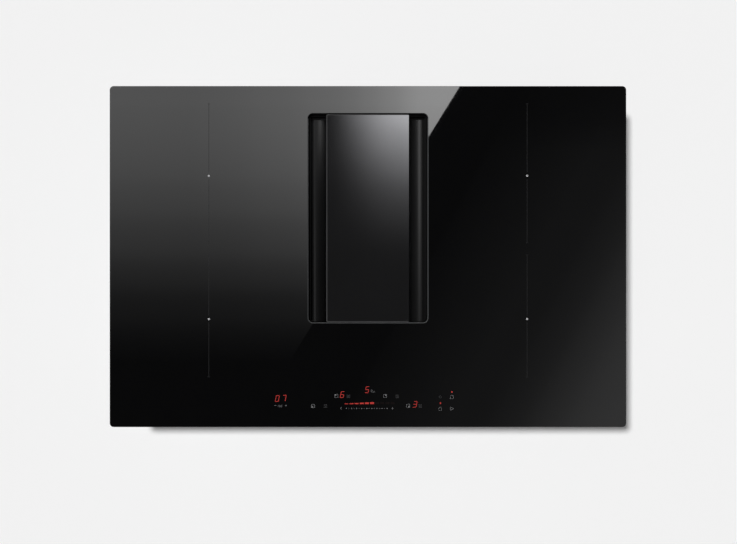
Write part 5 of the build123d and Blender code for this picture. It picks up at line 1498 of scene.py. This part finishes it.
    def lamp(
        self, name: str, power: float, place: Point, aim: Point = (0.0, 0.0, 0.0), kind: str = "AREA",
        **settings: object,
    ) -> Object:
        """Hang a lamp.

        Args:
            name: The lamp's name.
            power: Its power.
            place: Where it hangs.
            aim: The point at which it looks.
            kind: AREA or SUN.
            **settings: Its size and its other options.

        Returns:
            The lamp.
        """
        data = bpy.data.lights.new(name, kind)
        data.energy = power
        for option, value in settings.items():
            setattr(data, option, value)
        obj = self.place(name, data, place)
        obj.rotation_euler = (Vector(aim) - Vector(place)).to_track_quat("-Z", "Y").to_euler()
        return obj

    def lamps(self, floor: Object, polished: list) -> None:
        """Hang the sun, and soft side lamps and one below that leave the floor and the polished pieces alone.

        Args:
            floor: The floor.
            polished: The polished pieces.
        """
        sun = self.lamp("sun", self.sun_power, self.sun_place, kind="SUN", angle=radians(self.sun_width))
        sun.visible_glossy = False
        spared = self.linked("spared_by_side_lamps", [floor, *polished], True)
        for number in range(4):
            angle = number * pi / 2
            place = (self.side_distance * cos(angle), self.side_distance * sin(angle), self.side_height)
            side = self.lamp(f"side_{number}", self.side_power, place, self.side_aim)
            side.data.shape = "RECTANGLE"
            side.data.size, side.data.size_y = self.side_size
            side.light_linking.receiver_collection = spared
        below = self.lamp("below", self.below_power, self.below_place, size=self.below_size)
        below.visible_glossy = False
        below.light_linking.receiver_collection = spared
        below.light_linking.blocker_collection = self.linked("clear_to_lamp_below", [floor], True)

    def lip_lights(self, guide: Object, blockers: list) -> None:
        """Light the rounded lips beside the panel, past the panel itself.

        Args:
            guide: The piece with the lips.
            blockers: The pieces that may shade them.
        """
        lit = self.linked("lips", [guide])
        shade = self.linked("lip_shade", blockers)
        for number, (power, place, aim, size, spread) in enumerate(self.lip_lamps):
            lamp = self.lamp(f"lip_{number}", power, place, aim, size=size, spread=radians(spread))
            lamp.light_linking.receiver_collection = lit
            lamp.light_linking.blocker_collection = shade

    def hang(self, bm: Mesh, card: Card, level: Socket, receiver: Object) -> None:
        """Hang up a card that only one piece mirrors.

        Args:
            bm: The card's mesh.
            card: Its material.
            level: How strongly it shines.
            receiver: The piece that mirrors it.
        """
        card.fill(card.shader, {"Strength": level})
        name = card.owner.name
        obj = self.staged(bm, name, card.owner)
        for ray in ("camera", "diffuse", "transmission", "volume_scatter", "shadow"):
            setattr(obj, f"visible_{ray}", False)
        obj.light_linking.receiver_collection = self.linked(f"{name}_receivers", [receiver])

    def flat_card(self, name: str, height: float) -> tuple[Mesh, Card, Socket, Socket]:
        """Start a flat card over the glass, whose X and Y are those of the spot that mirrors it.

        Args:
            name: The card's name.
            height: Its height over the glass.

        Returns:
            The card's mesh and material, X and Y.
        """
        bm = bmesh.new()
        rectangle(bm, (0.0, 0.0), (self.card_size, self.card_size), self.glass_top + height)
        card = Card(name)
        ratio = height / self.distance
        shift = tuple(side * ratio / (1 + ratio) for side in self.eye)
        x, y, _ = card.axes(1 / (1 + ratio), shift)
        return bm, card, x, y

    def glass_card(self, receiver: Object) -> None:
        """Hang the card that gives the glass its grey field with the slanted edge."""
        bm, card, x, y = self.flat_card("glass_card", self.card_height)
        edge = card.math("MULTIPLY_ADD", y, self.edge_slope, self.edge_start)
        inside = card.math("GREATER_THAN", edge, x)
        level = card.math("MULTIPLY", card.field(self.columns, self.rows, x, y), inside)
        aside = card.math("MULTIPLY_ADD", y, -self.glow_slant, x)
        glow = card.field(self.glow_columns, self.glow_rows, aside, y)
        self.hang(bm, card, card.math("DIVIDE", card.math("ADD", level, glow), self.mirror), receiver)

    def panel_card(self, receiver: Object) -> None:
        """Hang the card that gives the brushed panel its bright rear right corner."""
        bm, card, x, y = self.flat_card("panel_card", self.panel_card_height)
        level = card.math("ADD", card.field(self.panel_columns, self.panel_rows, x, y), self.panel_floor)
        self.hang(bm, card, card.math("DIVIDE", level, self.panel_mirror), receiver)

    def tunnel_card(self, receiver: Object) -> None:
        """Bend a card over the opening, for the streaks on the rounded lips beside the panel.

        Args:
            receiver: The piece with the lips.
        """
        card = Card("tunnel_card")
        x, y, z = card.axes(1.0, (0.0, 0.0))
        angle = card.math("MULTIPLY", card.math("ARCTAN2", x, z), 180 / pi)
        total = 0.0
        for across, along in self.streaks:
            total = card.math("ADD", card.field(across, along, angle, y), total)
        bm = bmesh.new()
        bmesh.ops.create_cone(
            bm, cap_ends=False, segments=96, radius1=self.tunnel_radius, radius2=self.tunnel_radius,
            depth=2 * self.tunnel_radius, matrix=Matrix.Rotation(pi / 2, 4, "X"),
        )
        bmesh.ops.delete(bm, geom=[v for v in bm.verts if v.co.z < -NEAR], context="VERTS")
        self.hang(bm, card, total, receiver)

    def sky(self) -> None:
        """Give the world a pale backdrop, soft light and a dark top for reflections."""
        world = Graph(bpy.data.worlds.new("studio"), "Background", "Generated")
        bpy.context.scene.world = world.owner
        tilt = world.add("VectorMath", {0: world.place, 1: self.sky_tilt}, operation="DOT_PRODUCT")
        node = world.add("ValToRGB", {0: world.math("ADD", tilt.outputs["Value"], 0.5)})
        for stop, (at, level) in zip(node.color_ramp.elements, (self.horizon, self.zenith)):
            stop.position = at
            stop.color = grey(level)
        node.color_ramp.interpolation = "EASE"
        ray = world.add("LightPath").outputs
        glossy = world.mix(ray["Is Glossy Ray"], grey(self.ambient), node.outputs[0])
        seen = world.mix(ray["Is Camera Ray"], glossy, grey(self.sky_grey))
        world.fill(world.shader, {"Color": seen})

    def build(self) -> None:
        """Build the whole studio around the finished pieces."""
        pieces = bpy.data.objects
        glass, panel, guide = (pieces[name] for name in ("glass_plate", "panel_plate", "air_guide_rounded"))
        self.camera()
        floor = self.floor()
        self.lamps(floor, [glass, panel])
        self.sky()
        self.lip_lights(guide, [floor, glass])
        self.glass_card(glass)
        self.panel_card(panel)
        self.tunnel_card(guide)
        bpy.context.scene.view_settings.view_transform = "Standard"


def main() -> None:
    """Load the frame, build every sub-assembly in order and then the studio."""
    logging.basicConfig(level=logging.INFO, format="%(name)s %(message)s")
    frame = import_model()
    shop = Workshop(frame)
    kinds = (
        GlassPlate, TouchControl, CentrePanel, AirPath, Pan, FanHousing, Blower, CookingZones, Electronics,
        MainsTerminal,
    )
    for kind in kinds:
        log.info("building %s", kind.__name__)
        kind(shop).build()
    Studio().build()


if __name__ == "__main__":
    main()
